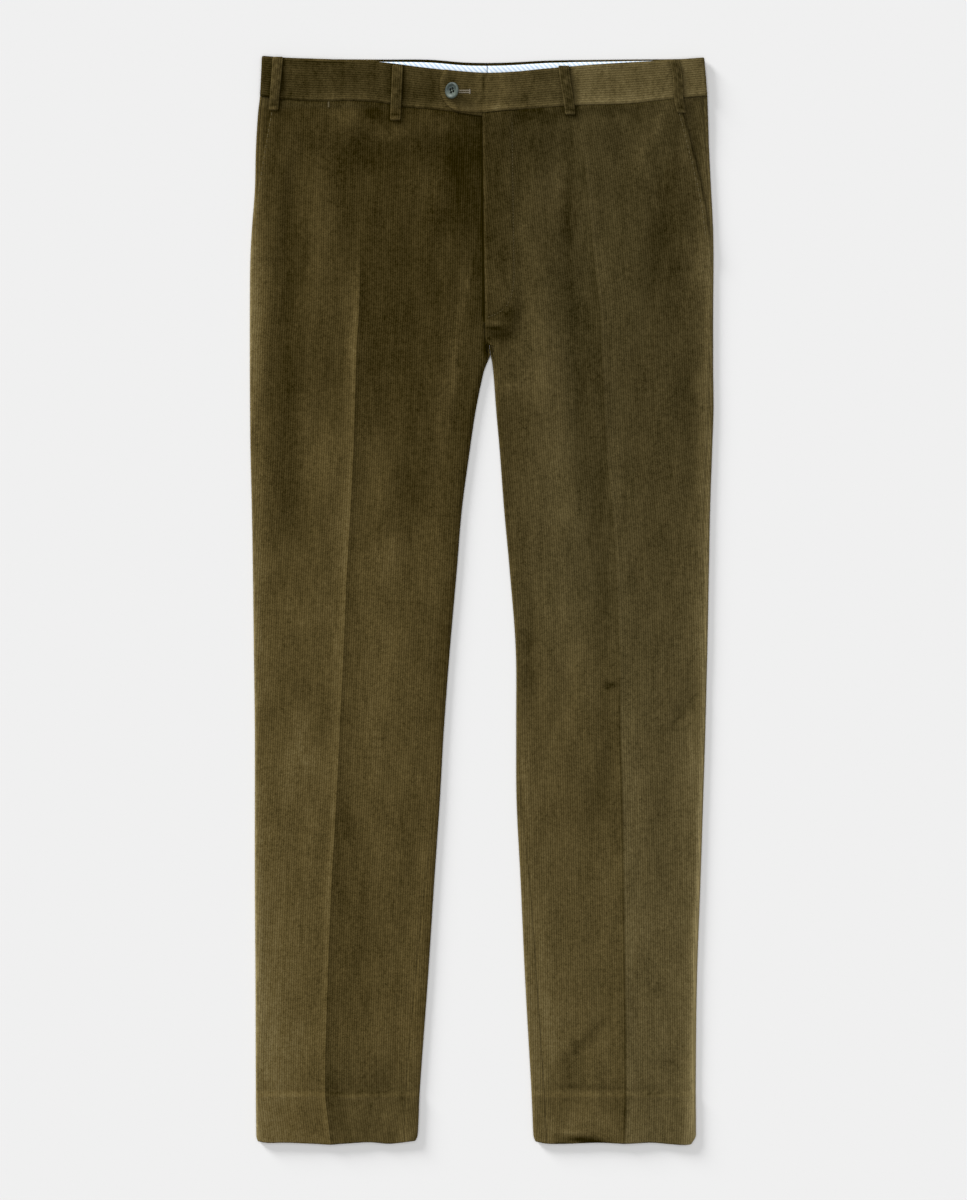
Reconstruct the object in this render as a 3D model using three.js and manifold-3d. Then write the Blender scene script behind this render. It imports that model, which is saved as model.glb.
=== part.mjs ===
// Corduroy trousers laid flat with the front side up, in millimetres, +Z up.
// +X is the wearer's left, +Y points to the waist, and the underside rests on z = 0.
// Each piece of cloth is a wall swept through stations down the garment. The back panels lie
// flat below, roll up at the side seams and inseams, and meet the front panels on top.
import * as THREE from 'three';
import Module from 'manifold-3d';
import { mergeVertices } from 'three/addons/utils/BufferGeometryUtils.js';

const wasm = await Module();
wasm.setup();

// Driving sizes
const clothWall = 1.4;
const bandWall = 1.8;
const liningWall = 1.0;
const loopWall = 1.2;
const hemWall = 2.4;
const seamGap = 0.3;
const layerGap = 0.35;
const leastLip = 0.2;
const tinyAngle = 0.01;
const hemTop = -493;
const loopWidth = 11;
const loopCrown = 0.3;
const loopCorner = 0.8;
const backLoopRise = 1.5;
const liningHeight = 36;
const liningInset = 2.2;
const buttonDiameter = 16.5;
const buttonTilt = THREE.MathUtils.degToRad(36);

// The air left between the back and front layers
const legAir = 1.5;
const hemAir = 0.6;
const waistAir = 1.0;
const leastAir = 0.4;
const mostAir = 3.7;
const creaseRise = 1.3;
const creaseWidth = 6;

// Heights up the garment where its parts begin and end
const panelTop = 486;
const bendFoot = 430;
const backRiseFoot = 440;
const backRiseTop = 480;
const hemSlopeFoot = -500;
const hemSlopeTop = -480;
const hemStep = 2;
const crotchTop = 256;
const crotchMiddle = 248;
const crotchFoot = 240;
const crotchInset = 3.8;
const flyFoot = 276;
const flyLiftEnd = 258;
const pocketFoot = 352;
const pocketLiftEnd = 326;
const pocketZoneX = 180;

// How far in from its free edge a lifted layer stays up, and where it has come down
const pocketLiftReach = { near: 22, far: 40 };
const flyLiftReach = { near: 26, far: 38 };

// Where the pressed creases fade in below the waist
const creaseFade = {
  right: { none: 370, full: 300 },
  left: { none: 470, full: 420 },
};

// The centre back seam, and the fly's underlap beyond the centre front
const backSeamX = 6;
const backSeamMiddle = 497.4;
const backSeamSideRise = 6.2;
const waistHalfWidth = 222;
const flyUnderlap = 24;

// Outline of the wearer's right leg. A row is a station: its height y, the outer silhouette edge,
// the pressed crease, the inner silhouette edge, and how far each seam lies in from its edge.
const rightLeg = [
  { y: 503, outer: -221.8, crease: -118, inner: 6, outerInset: 2.4, innerInset: 0 },
  { y: 486, outer: -223.8, crease: -119, inner: 6, outerInset: 2.4, innerInset: 0 },
  { y: 450, outer: -226, crease: -120, inner: 6, outerInset: 2.4, innerInset: 0 },
  { y: 410, outer: -227, crease: -121, inner: 6, outerInset: 2.4, innerInset: 0 },
  { y: 370, outer: -230, crease: -122, inner: 6, outerInset: 2.4, innerInset: 0 },
  { y: 338, outer: -231.6, crease: -123, inner: 6, outerInset: 2.4, innerInset: 0 },
  { y: 290, outer: -232, crease: -124, inner: 6.3, outerInset: 2.4, innerInset: 0 },
  { y: 248, outer: -232, crease: -125.5, inner: 7.4, outerInset: 2.4, innerInset: 2.4 },
  { y: 230, outer: -232, crease: -126, inner: 3, outerInset: 2.4, innerInset: 2.4 },
  { y: 190, outer: -231.8, crease: -127.2, inner: -6, outerInset: 2.4, innerInset: 2.4 },
  { y: 150, outer: -231.4, crease: -128.5, inner: -12, outerInset: 2.4, innerInset: 2.4 },
  { y: 90, outer: -230, crease: -131.5, inner: -20, outerInset: 2.4, innerInset: 2.4 },
  { y: 30, outer: -229, crease: -135, inner: -25, outerInset: 2.4, innerInset: 2.4 },
  { y: -50, outer: -228, crease: -139, inner: -32, outerInset: 2.4, innerInset: 2.4 },
  { y: -130, outer: -227, crease: -143, inner: -38, outerInset: 2.4, innerInset: 2.4 },
  { y: -200, outer: -227, crease: -146.5, inner: -42, outerInset: 2.4, innerInset: 3.6 },
  { y: -280, outer: -227, crease: -151, inner: -47.5, outerInset: 2.4, innerInset: 8 },
  { y: -380, outer: -226.4, crease: -155, inner: -54, outerInset: 2.4, innerInset: 12 },
  { y: -490, outer: -226, crease: -158, inner: -62, outerInset: 2.4, innerInset: 13.5 },
  { y: -532, outer: -225.6, crease: -152.5, inner: -65.2, outerInset: 2.4, innerInset: 13 },
  { y: -540, outer: -224, crease: -151.5, inner: -68, outerInset: 2.4, innerInset: 9 },
  { y: -544, outer: -219, crease: -151, inner: -74, outerInset: 2.4, innerInset: 4 },
];

// Outline of the wearer's left leg, with the same columns.
const leftLeg = [
  { y: 503, outer: 225.2, crease: 90, inner: 6, outerInset: 4, innerInset: 0 },
  { y: 486, outer: 225.8, crease: 94, inner: 6, outerInset: 3.8, innerInset: 0 },
  { y: 450, outer: 227, crease: 101, inner: 6, outerInset: 2.8, innerInset: 0 },
  { y: 410, outer: 229, crease: 106, inner: 6, outerInset: 2.6, innerInset: 0 },
  { y: 370, outer: 231, crease: 110, inner: 6, outerInset: 3.6, innerInset: 0 },
  { y: 338, outer: 231.4, crease: 113, inner: 6, outerInset: 2.4, innerInset: 0 },
  { y: 290, outer: 231, crease: 118.5, inner: 6.3, outerInset: 2.4, innerInset: 0 },
  { y: 248, outer: 231, crease: 120, inner: 8.4, outerInset: 3, innerInset: 2.4 },
  { y: 230, outer: 231, crease: 121, inner: 10, outerInset: 3.4, innerInset: 2.4 },
  { y: 190, outer: 231.4, crease: 123, inner: 14, outerInset: 4.2, innerInset: 2.4 },
  { y: 150, outer: 230, crease: 125, inner: 17.5, outerInset: 5, innerInset: 2.4 },
  { y: 90, outer: 228, crease: 131, inner: 22, outerInset: 6, innerInset: 2.4 },
  { y: 30, outer: 226, crease: 135, inner: 27.5, outerInset: 5.4, innerInset: 2.4 },
  { y: -50, outer: 224, crease: 138, inner: 33.6, outerInset: 2.6, innerInset: 2.4 },
  { y: -130, outer: 222.2, crease: 138.6, inner: 34, outerInset: 2.4, innerInset: 2.4 },
  { y: -200, outer: 220.4, crease: 142, inner: 34.4, outerInset: 2.4, innerInset: 5 },
  { y: -280, outer: 218.4, crease: 143.5, inner: 38.4, outerInset: 2.4, innerInset: 9.4 },
  { y: -380, outer: 214.8, crease: 144.5, inner: 43, outerInset: 2.4, innerInset: 12 },
  { y: -490, outer: 213, crease: 144, inner: 49.4, outerInset: 2.4, innerInset: 13.2 },
  { y: -532, outer: 212, crease: 143, inner: 51.2, outerInset: 2.4, innerInset: 13.4 },
  { y: -540, outer: 210.6, crease: 142.6, inner: 52.4, outerInset: 2.4, innerInset: 12.2 },
  { y: -543, outer: 206, crease: 142.5, inner: 57, outerInset: 2.4, innerInset: 8 },
];

// The front pocket openings slant from the waist to the side seam.
const rightPocketEdge = [
  { y: 502, x: -209 },
  { y: 485, x: -212 },
  { y: 462, x: -216 },
  { y: 436, x: -220.5 },
  { y: 413, x: -224 },
  { y: 386, x: -227.4 },
  { y: 352, x: -231 },
];
const leftPocketEdge = [
  { y: 502, x: 197 },
  { y: 485, x: 201.5 },
  { y: 446, x: 211.6 },
  { y: 412, x: 219.6 },
  { y: 389, x: 224 },
  { y: 369, x: 226.8 },
  { y: 352, x: 231 },
];

// Free edges at the centre front: the fly edge and its underlap, then the crotch seam.
const underlapEdge = [
  { y: 500, x: 24 },
  { y: 298, x: 24 },
  { y: 290, x: 18 },
  { y: 276, x: 2.6 },
  { y: 262, x: 3 },
  { y: 256, x: 4 },
];
const flyEdge = [
  { y: 500, x: 0 },
  { y: 283, x: 3 },
  { y: 276, x: 3 },
  { y: 262, x: 3 },
  { y: 256, x: 4 },
];

// Waist seams and waistband top edges, seen from the front: a height y at each x.
const rightWaistSeam = [
  { x: -224, y: 503.8 },
  { x: -202, y: 500.3 },
  { x: -167, y: 497.8 },
  { x: -126, y: 498.3 },
  { x: -99, y: 496.2 },
  { x: -78, y: 492.4 },
  { x: -31, y: 488 },
  { x: -4, y: 483.8 },
  { x: 24, y: 482 },
];
const leftWaistSeam = [
  { x: -35, y: 489 },
  { x: -12, y: 486.8 },
  { x: 0, y: 486.4 },
  { x: 20, y: 488.4 },
  { x: 44, y: 490.2 },
  { x: 95, y: 494 },
  { x: 144, y: 495.4 },
  { x: 180, y: 499 },
  { x: 204, y: 501.8 },
  { x: 227, y: 503.8 },
];
const frontTopEdge = [
  { x: -222, y: 543.6 },
  { x: -196, y: 541.6 },
  { x: -142, y: 539.6 },
  { x: -100, y: 537 },
  { x: -52, y: 531 },
  { x: 8, y: 526.2 },
  { x: 68, y: 531 },
  { x: 116, y: 535 },
  { x: 176, y: 538.6 },
  { x: 212, y: 541 },
  { x: 224, y: 542 },
];
const backTopEdge = [
  { x: -222, y: 543.6 },
  { x: -184, y: 541 },
  { x: -100, y: 540 },
  { x: -52, y: 539.8 },
  { x: -16, y: 537 },
  { x: 20, y: 536.8 },
  { x: 68, y: 539 },
  { x: 140, y: 540 },
  { x: 200, y: 540.6 },
  { x: 224, y: 542 },
];

// Waistband side folds: the silhouette x at the top and bottom of the band.
const bandSides = {
  right: { top: -219.8, bottom: -221.8 },
  left: { top: 222, bottom: 225.2 },
};

// The rounded end of the waistband tab that laps over to the wearer's right
const tabArc = { x: -17, y: 511, radius: 26 };

// Large soft folds of the front cloth. A row gives the centre, how far the fold reaches along
// and across itself, how far its top leans to +X in degrees, and how much it rises or sinks.
const frontFolds = [
  { x: -162, y: 400, along: 80, across: 17, lean: 0, rise: 0.9 },
  { x: -192, y: 300, along: 150, across: 14, lean: -2, rise: -0.8 },
  { x: -92, y: 446, along: 34, across: 60, lean: 0, rise: -0.7 },
  { x: -160, y: 130, along: 60, across: 20, lean: 0, rise: 0.8 },
  { x: -25, y: 270, along: 90, across: 12, lean: 6, rise: -0.8 },
  { x: -70, y: 100, along: 70, across: 18, lean: 4, rise: -0.7 },
  { x: -50, y: -60, along: 110, across: 12, lean: 5, rise: -0.8 },
  { x: -165, y: -10, along: 50, across: 22, lean: -8, rise: 0.8 },
  { x: 58, y: 260, along: 170, across: 14, lean: -1, rise: 1.1 },
  { x: 96, y: 245, along: 150, across: 15, lean: -4, rise: -0.9 },
  { x: 165, y: 440, along: 40, across: 14, lean: 20, rise: 0.9 },
  { x: 198, y: -115, along: 34, across: 10, lean: 38, rise: -0.9 },
  { x: 48, y: -60, along: 70, across: 8, lean: 0, rise: -0.8 },
  { x: 108, y: -446, along: 34, across: 9, lean: 40, rise: -0.8 },
  { x: 185, y: -465, along: 12, across: 28, lean: 0, rise: -0.7 },
];

// Stations down the panels, closest together round the crotch, the pockets and the hems
const stations = [
  486, 470, 450, 425, 395, 370, 352, 338, 318, 298, 286, 276, 266, 256, 248, 240, 230,
  212, 185, 150, 105, 50, -10, -75, -140, -210, -280, -350, -420, -478, -491, -495,
  -515, -532, -540, -544,
];

// A smooth step from 0 at `from` to 1 at `to`
function smooth(from, to, value) {
  const t = Math.min(1, Math.max(0, (value - from) / (to - from)));
  return t * t * (3 - 2 * t);
}

function mix(a, b, t) {
  return a + (b - a) * t;
}

// A smooth curve through one column of a table whose rows are in order of `by`
function column(rows, by, key, at) {
  const order = Math.sign(rows[rows.length - 1][by] - rows[0][by]);
  if ((at - rows[0][by]) * order <= 0) return rows[0][key];
  const last = rows.length - 1;
  if ((at - rows[last][by]) * order >= 0) return rows[last][key];
  let i = 0;
  while ((at - rows[i + 1][by]) * order > 0) i += 1;
  const slopeAt = (k) => {
    const low = rows[Math.max(0, k - 1)];
    const high = rows[Math.min(last, k + 1)];
    return (high[key] - low[key]) / (high[by] - low[by]);
  };
  const width = rows[i + 1][by] - rows[i][by];
  const t = (at - rows[i][by]) / width;
  const rise = rows[i + 1][key] - rows[i][key];
  const start = slopeAt(i) * width;
  const end = slopeAt(i + 1) * width;
  const cubic = start + end - 2 * rise;
  const square = 3 * rise - 2 * start - end;
  return rows[i][key] + t * (start + t * (square + t * cubic));
}

// Straight interpolation through a table, for edges with corners
function straight(rows, by, key, at) {
  const order = Math.sign(rows[rows.length - 1][by] - rows[0][by]);
  if ((at - rows[0][by]) * order <= 0) return rows[0][key];
  const last = rows.length - 1;
  if ((at - rows[last][by]) * order >= 0) return rows[last][key];
  let i = 0;
  while ((at - rows[i + 1][by]) * order > 0) i += 1;
  const t = (at - rows[i][by]) / (rows[i + 1][by] - rows[i][by]);
  return mix(rows[i][key], rows[i + 1][key], t);
}

const legs = {
  right: { side: -1, rows: rightLeg, pocket: rightPocketEdge, seam: rightWaistSeam },
  left: { side: 1, rows: leftLeg, pocket: leftPocketEdge, seam: leftWaistSeam },
};

// Heights of the layers

function panelWall(y) {
  return mix(hemWall, clothWall, smooth(hemTop - hemStep, hemTop + hemStep, y));
}

// The back rises near the waist, where it lies on its belt loops.
function backRise(y) {
  return backLoopRise * smooth(backRiseFoot, backRiseTop, y);
}

function foldRise(x, y) {
  return frontFolds.reduce((sum, fold) => {
    const lean = THREE.MathUtils.degToRad(fold.lean);
    const along = (y - fold.y) * Math.cos(lean) + (x - fold.x) * Math.sin(lean);
    const across = (x - fold.x) * Math.cos(lean) - (y - fold.y) * Math.sin(lean);
    const reach = (along / fold.along) ** 2 + (across / fold.across) ** 2;
    return sum + fold.rise * Math.exp(-reach);
  }, 0);
}

function creaseAt(x, y) {
  const leg = x < 0 ? legs.right : legs.left;
  const fade = x < 0 ? creaseFade.right : creaseFade.left;
  const fadeIn = 1 - smooth(fade.full, fade.none, y);
  const distance = Math.abs(x - column(leg.rows, 'y', 'crease', y));
  return creaseRise * fadeIn * Math.exp(-distance / creaseWidth);
}

// Underside of the front cloth where nothing lies between it and the back
function frontUnder(x, y) {
  const base = mix(hemAir, legAir, smooth(hemSlopeFoot, hemSlopeTop, y));
  const air = Math.min(mostAir, Math.max(leastAir, base + creaseAt(x, y) + foldRise(x, y)));
  return backRise(y) + panelWall(y) + air + waistAir * smooth(bendFoot, panelTop, y);
}

// The pocket facing sinks towards the waist seam so that the layers above it end level.
const pocketStep = clothWall + layerGap;

function facingDrop(y) {
  return pocketStep * smooth(bendFoot, backRiseTop, y);
}

function pocketLift(leg, x, y) {
  const inside = (column(leg.pocket, 'y', 'x', y) - x) * leg.side;
  const reach = 1 - smooth(pocketLiftReach.near, pocketLiftReach.far, inside);
  return (pocketStep - facingDrop(y)) * reach * smooth(pocketLiftEnd, pocketFoot, y);
}

function flyLift(x, y) {
  const inside = x - column(flyEdge, 'y', 'x', y);
  const reach = 1 - smooth(flyLiftReach.near, flyLiftReach.far, inside);
  return pocketStep * reach * smooth(flyLiftEnd, flyFoot, y);
}

// Outlines of the panels

function outerEdge(leg, y) {
  return column(leg.rows, 'y', 'outer', y);
}

// The crotch curve: how far the back panel's inner edge has turned up and over
function innerTurn(y) {
  if (y >= crotchTop) return 0;
  if (y >= crotchMiddle) return (Math.PI / 2) * ((crotchTop - y) / (crotchTop - crotchMiddle));
  if (y >= crotchFoot) {
    return (Math.PI / 2) * (1 + (crotchMiddle - y) / (crotchMiddle - crotchFoot));
  }
  return Math.PI;
}

function seamLevel(leg, x, y) {
  const besidePocket = y >= pocketFoot - 1 && x * leg.side > pocketZoneX;
  const drop = besidePocket ? facingDrop(y) : 0;
  return frontUnder(x, y) - drop + panelWall(y) / 2;
}

function rollRadius(leg, x, y) {
  return (seamLevel(leg, x, y) - backRise(y) - panelWall(y) / 2) / 2;
}

// A seam lies in from the silhouette by its inset, and never on the roll itself.
function seamInset(leg, key, edge, y) {
  const least = rollRadius(leg, edge, y) + panelWall(y) / 2 + leastLip;
  return Math.max(column(leg.rows, 'y', key, y), least);
}

function outerSeam(leg, y) {
  const edge = outerEdge(leg, y);
  return edge - leg.side * seamInset(leg, 'outerInset', edge, y);
}

function frontOuterEdge(leg, y) {
  const seam = outerSeam(leg, y) - leg.side * seamGap;
  if (y < pocketFoot - 1) return seam;
  const pocket = column(leg.pocket, 'y', 'x', y);
  return leg.side * Math.min(seam * leg.side, pocket * leg.side);
}

function legInnerEdge(leg, y) {
  return column(leg.rows, 'y', 'inner', y);
}

function frontInnerEdge(leg, y) {
  if (y >= crotchTop - 1) {
    const edge = leg.side < 0 ? underlapEdge : flyEdge;
    return straight(edge, 'y', 'x', y) + (leg.side * seamGap) / 2;
  }
  const edge = legInnerEdge(leg, y) + (leg.side * seamGap) / 2;
  const inset = y >= crotchMiddle - 1
    ? crotchInset
    : seamInset(leg, 'innerInset', edge, y) + seamGap;
  return edge + leg.side * inset;
}

// Panel rows bend near the top so that the last one follows the waist seam.
function bentY(y, x, topLine) {
  const weight = Math.max(0, (y - bendFoot) / (panelTop - bendFoot));
  return y + weight * (topLine(x) - seamGap - panelTop);
}

function backSeam(x) {
  return backSeamMiddle + backSeamSideRise * (x / waistHalfWidth) ** 2;
}

// A closed wall between an outer and an inner grid of points. Rows run down the garment, and
// columns run so that the outer face looks outwards.
function wallGeometry(outer, inner) {
  const rowCount = outer.length;
  const columnCount = outer[0].length;
  const points = [...outer.flat(), ...inner.flat()];
  const outerAt = (i, j) => i * columnCount + j;
  const innerAt = (i, j) => rowCount * columnCount + i * columnCount + j;
  const faces = [];
  const quad = (a, b, c, d) => faces.push(a, b, c, b, d, c);
  for (let i = 0; i < rowCount - 1; i += 1) {
    for (let j = 0; j < columnCount - 1; j += 1) {
      quad(outerAt(i, j), outerAt(i + 1, j), outerAt(i, j + 1), outerAt(i + 1, j + 1));
      quad(innerAt(i, j), innerAt(i, j + 1), innerAt(i + 1, j), innerAt(i + 1, j + 1));
    }
    const last = columnCount - 1;
    quad(innerAt(i, 0), innerAt(i + 1, 0), outerAt(i, 0), outerAt(i + 1, 0));
    quad(outerAt(i, last), outerAt(i + 1, last), innerAt(i, last), innerAt(i + 1, last));
  }
  for (let j = 0; j < columnCount - 1; j += 1) {
    const last = rowCount - 1;
    quad(innerAt(0, j), outerAt(0, j), innerAt(0, j + 1), outerAt(0, j + 1));
    quad(outerAt(last, j), innerAt(last, j), outerAt(last, j + 1), innerAt(last, j + 1));
  }
  const geometry = new THREE.BufferGeometry();
  const numbers = points.flatMap((p) => [p.x, p.y, p.z]);
  geometry.setAttribute('position', new THREE.Float32BufferAttribute(numbers, 3));
  geometry.setIndex(faces);
  geometry.computeVertexNormals();
  return geometry;
}

// A layer that lies flat on others: each point has its underside height and a wall above it.
function layerGeometry(rows) {
  const outer = rows.map((row) => row.map((p) => new THREE.Vector3(p.x, p.y, p.z + p.wall)));
  const inner = rows.map((row) => row.map((p) => new THREE.Vector3(p.x, p.y, p.z)));
  return wallGeometry(outer, inner);
}

// One edge of a wall that turns up and over, as its centre line: u outwards and z up from the
// start of the roll, with the angle turned so far. The lip is the straight run after the roll.
function rollLine(radius, turn, lip, wall, segments) {
  const length = Math.PI * radius;
  const points = [];
  for (let k = 0; k <= segments; k += 1) {
    const angle = (turn * k) / segments;
    const along = (length * k) / segments;
    const bend = turn < tinyAngle ? 0 : length / turn;
    const u = turn < tinyAngle ? along : bend * Math.sin(angle);
    const z = turn < tinyAngle ? 0 : bend * (1 - Math.cos(angle));
    points.push({ u, z, angle });
  }
  const end = points[segments];
  points.push({
    u: end.u + lip * Math.cos(turn),
    z: end.z + lip * Math.sin(turn),
    angle: turn,
  });
  const reach = Math.max(...points.map((p) => p.u + (Math.abs(Math.sin(p.angle)) * wall) / 2));
  return points.map((p) => ({ u: p.u - reach, z: p.z, angle: p.angle }));
}

// The back panel of one leg

const rollSegments = 4;
const floorSegments = 5;

function backSection(leg, station) {
  const left = { turn: Math.PI };
  const right = { turn: Math.PI };
  const outer = leg.side < 0 ? left : right;
  const inner = leg.side < 0 ? right : left;
  const sideY = bentY(station, outerEdge(leg, station), backSeam);
  outer.edge = outerEdge(leg, sideY);
  outer.radius = rollRadius(leg, outer.edge, sideY);
  outer.inset = seamInset(leg, 'outerInset', outer.edge, sideY);
  inner.edge = legInnerEdge(leg, station) + (leg.side * seamGap) / 2;
  inner.turn = innerTurn(station);
  inner.radius = rollRadius(leg, inner.edge, station);
  inner.inset = seamInset(leg, 'innerInset', inner.edge, station);
  const wall = panelWall(station);
  const lineFor = (end) => {
    const folded = end.turn > Math.PI - tinyAngle;
    const lip = folded ? end.inset - end.radius - wall / 2 : leastLip;
    return rollLine(end.radius, end.turn, lip, wall, rollSegments);
  };
  const path = [];
  const rightLine = lineFor(right).reverse();
  const leftLine = lineFor(left);
  for (const p of rightLine) {
    path.push({ x: right.edge + p.u, z: p.z, nx: Math.sin(p.angle), nz: -Math.cos(p.angle) });
  }
  const from = path[path.length - 1].x;
  const to = left.edge - leftLine[0].u;
  for (let k = 1; k < floorSegments; k += 1) {
    path.push({ x: mix(from, to, k / floorSegments), z: 0, nx: 0, nz: -1 });
  }
  for (const p of leftLine) {
    path.push({ x: left.edge - p.u, z: p.z, nx: -Math.sin(p.angle), nz: -Math.cos(p.angle) });
  }
  return path.map((p) => {
    const y = bentY(station, p.x, backSeam);
    const centre = backRise(y) + wall / 2 + p.z;
    const shifted = (sign) => new THREE.Vector3(
      p.x + (sign * p.nx * wall) / 2,
      y,
      centre + (sign * p.nz * wall) / 2,
    );
    return { outer: shifted(1), inner: shifted(-1) };
  });
}

function backPanel(leg) {
  const sections = stations.map((station) => backSection(leg, station));
  return wallGeometry(
    sections.map((section) => section.map((p) => p.outer)),
    sections.map((section) => section.map((p) => p.inner)),
  );
}

// The front panel of one leg. Its columns keep to the outer edge, the crease and the inner edge.
const outerColumns = [0, 8, 22, 40];
const innerColumns = [38, 26, 13, 0];
const creaseColumn = 8;

function frontColumns(leg, outer, crease, inner) {
  const fromOuter = outerColumns.map((d) => outer - leg.side * d);
  const beforeCrease = crease + leg.side * creaseColumn;
  const afterCrease = crease - leg.side * creaseColumn;
  const fromInner = innerColumns.map((d) => inner + leg.side * d);
  const xs = [
    ...fromOuter,
    mix(fromOuter[3], beforeCrease, 0.5),
    beforeCrease,
    crease,
    afterCrease,
    mix(afterCrease, fromInner[0], 1 / 3),
    mix(afterCrease, fromInner[0], 2 / 3),
    ...fromInner,
  ];
  return leg.side < 0 ? xs : xs.reverse();
}

function frontPanel(leg) {
  const topLine = (x) => column(leg.seam, 'x', 'y', x);
  const rows = stations.map((station) => {
    const outerGuess = frontOuterEdge(leg, station);
    const outer = frontOuterEdge(leg, bentY(station, outerGuess, topLine));
    const inner = frontInnerEdge(leg, station);
    const crease = column(leg.rows, 'y', 'crease', station);
    return frontColumns(leg, outer, crease, inner).map((x) => {
      const y = bentY(station, x, topLine);
      const lift = pocketLift(leg, x, y) + (leg.side > 0 ? flyLift(x, y) : 0);
      return { x, y, z: frontUnder(x, y) + lift, wall: panelWall(y) };
    });
  });
  return layerGeometry(rows);
}

// The cloth behind a slanted pocket opening, sewn into the side and waist seams
const facingReach = 16;

function pocketFacing(leg) {
  const topLine = (x) => column(leg.seam, 'x', 'y', x);
  const rows = stations.filter((station) => station >= pocketFoot).map((station) => {
    const sideY = bentY(station, outerSeam(leg, station), topLine);
    const seam = outerSeam(leg, sideY) - leg.side * seamGap;
    const inside = column(leg.pocket, 'y', 'x', sideY) - leg.side * facingReach;
    const xs = [0, 1 / 3, 2 / 3, 1].map((t) => mix(seam, inside, t));
    if (leg.side > 0) xs.reverse();
    return xs.map((x) => {
      const y = bentY(station, x, topLine);
      return { x, y, z: frontUnder(x, y) - facingDrop(y), wall: clothWall };
    });
  });
  return layerGeometry(rows);
}

// The waistband of one side: one strip from the centre front, round the side fold and under to
// the centre back. It lies above its belt loops at the back and level with the panels in front.
const bandFrontUnder = 5.2;
const bandBackUnder = backLoopRise;
const tabStep = bandWall + layerGap;
const bandRollSegments = 5;

function bandFrontLevel(side, x) {
  const lift = side > 0 ? tabStep * (1 - smooth(flyLiftReach.near, flyLiftReach.far, x)) : 0;
  return bandFrontUnder + lift;
}

function bandSection(side, part, frontXs, backXs) {
  const leg = side < 0 ? legs.right : legs.left;
  const sides = side < 0 ? bandSides.right : bandSides.left;
  const radius = (bandFrontUnder - bandBackUnder) / 2;
  const edge = mix(sides.top, sides.bottom, part);
  const yFront = (x) => mix(
    column(frontTopEdge, 'x', 'y', x),
    column(leg.seam, 'x', 'y', x),
    part,
  );
  const yBack = (x) => mix(column(backTopEdge, 'x', 'y', x), backSeam(x), part);
  const halfWall = bandWall / 2;
  const path = [];
  for (const x of frontXs) {
    path.push({ x, y: yFront(x), z: bandFrontLevel(side, x) + halfWall, nx: 0, nz: 1 });
  }
  const centreX = edge - side * (radius + halfWall);
  for (let k = 0; k <= bandRollSegments; k += 1) {
    const angle = (Math.PI * k) / bandRollSegments;
    const nx = side * Math.sin(angle);
    const x = centreX + nx * radius;
    path.push({
      x,
      y: mix(yFront(x), yBack(x), k / bandRollSegments),
      z: bandBackUnder + halfWall + radius * (1 + Math.cos(angle)),
      nx,
      nz: Math.cos(angle),
    });
  }
  for (const x of backXs) {
    path.push({ x, y: yBack(x), z: bandBackUnder + halfWall, nx: 0, nz: -1 });
  }
  if (side < 0) path.reverse();
  const shifted = (p, sign) => new THREE.Vector3(
    p.x + sign * p.nx * halfWall,
    p.y,
    p.z + sign * p.nz * halfWall,
  );
  return {
    outer: path.map((p) => shifted(p, 1)),
    inner: path.map((p) => shifted(p, -1)),
  };
}

function tabEnd(part) {
  const y = mix(
    column(frontTopEdge, 'x', 'y', tabArc.x),
    column(leftWaistSeam, 'x', 'y', tabArc.x),
    part,
  );
  return tabArc.x - Math.sqrt(tabArc.radius ** 2 - (y - tabArc.y) ** 2);
}

// Where each waistband has points: shares of its depth, then x along its front and its back
const bandGrid = {
  right: {
    parts: [0, 0.04, 0.3, 0.65, 0.96, 1],
    front: [0, -31, -55, -72, -88, -105, -125, -150, -180, -205],
    back: [-205, -160, -110, -60, -20],
  },
  left: {
    parts: [0, 0.04, 0.12, 0.27, 0.5, 0.73, 0.88, 0.96, 1],
    front: [-22, -12, 2, 14, 25, 39, 55, 85, 115, 145, 175, 205],
    back: [205, 160, 110, 60, 24],
  },
};

function waistband(side) {
  const grid = side < 0 ? bandGrid.right : bandGrid.left;
  const sections = grid.parts.map((part) => {
    const end = side < 0 ? flyUnderlap : tabEnd(part);
    const backEnd = backSeamX + (side * seamGap) / 2;
    return bandSection(side, part, [end, ...grid.front], [...grid.back, backEnd]);
  });
  return wallGeometry(sections.map((s) => s.outer), sections.map((s) => s.inner));
}

// The striped lining of the waistband, on the inside of the back where it shows
const liningUnder = bandBackUnder + bandWall + layerGap;
const liningEnds = { right: -130, left: 186 };
const liningColumns = 9;

function waistLining(side) {
  const far = side < 0 ? liningEnds.right : liningEnds.left;
  const near = backSeamX + (side * seamGap) / 2;
  const xs = Array.from({ length: liningColumns }, (_, k) => mix(near, far, k / (liningColumns - 1)));
  if (side < 0) xs.reverse();
  const rows = [0, 0.5, 1].map((part) => xs.map((x) => ({
    x,
    y: column(backTopEdge, 'x', 'y', x) - liningInset - liningHeight * part,
    z: liningUnder,
    wall: liningWall,
  })));
  return layerGeometry(rows);
}

// Height of whatever lies on top at a point of the front, for what is sewn over it
function frontSurface(x, y) {
  const leg = x < 0 ? legs.right : legs.left;
  const seam = column(leg.seam, 'x', 'y', x);
  if (y > seam - seamGap - 1) return bandFrontLevel(leg.side, x) + bandWall;
  const lift = pocketLift(leg, x, y) + (leg.side > 0 ? flyLift(x, y) : 0);
  return frontUnder(x, y) + lift + panelWall(y);
}

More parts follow.
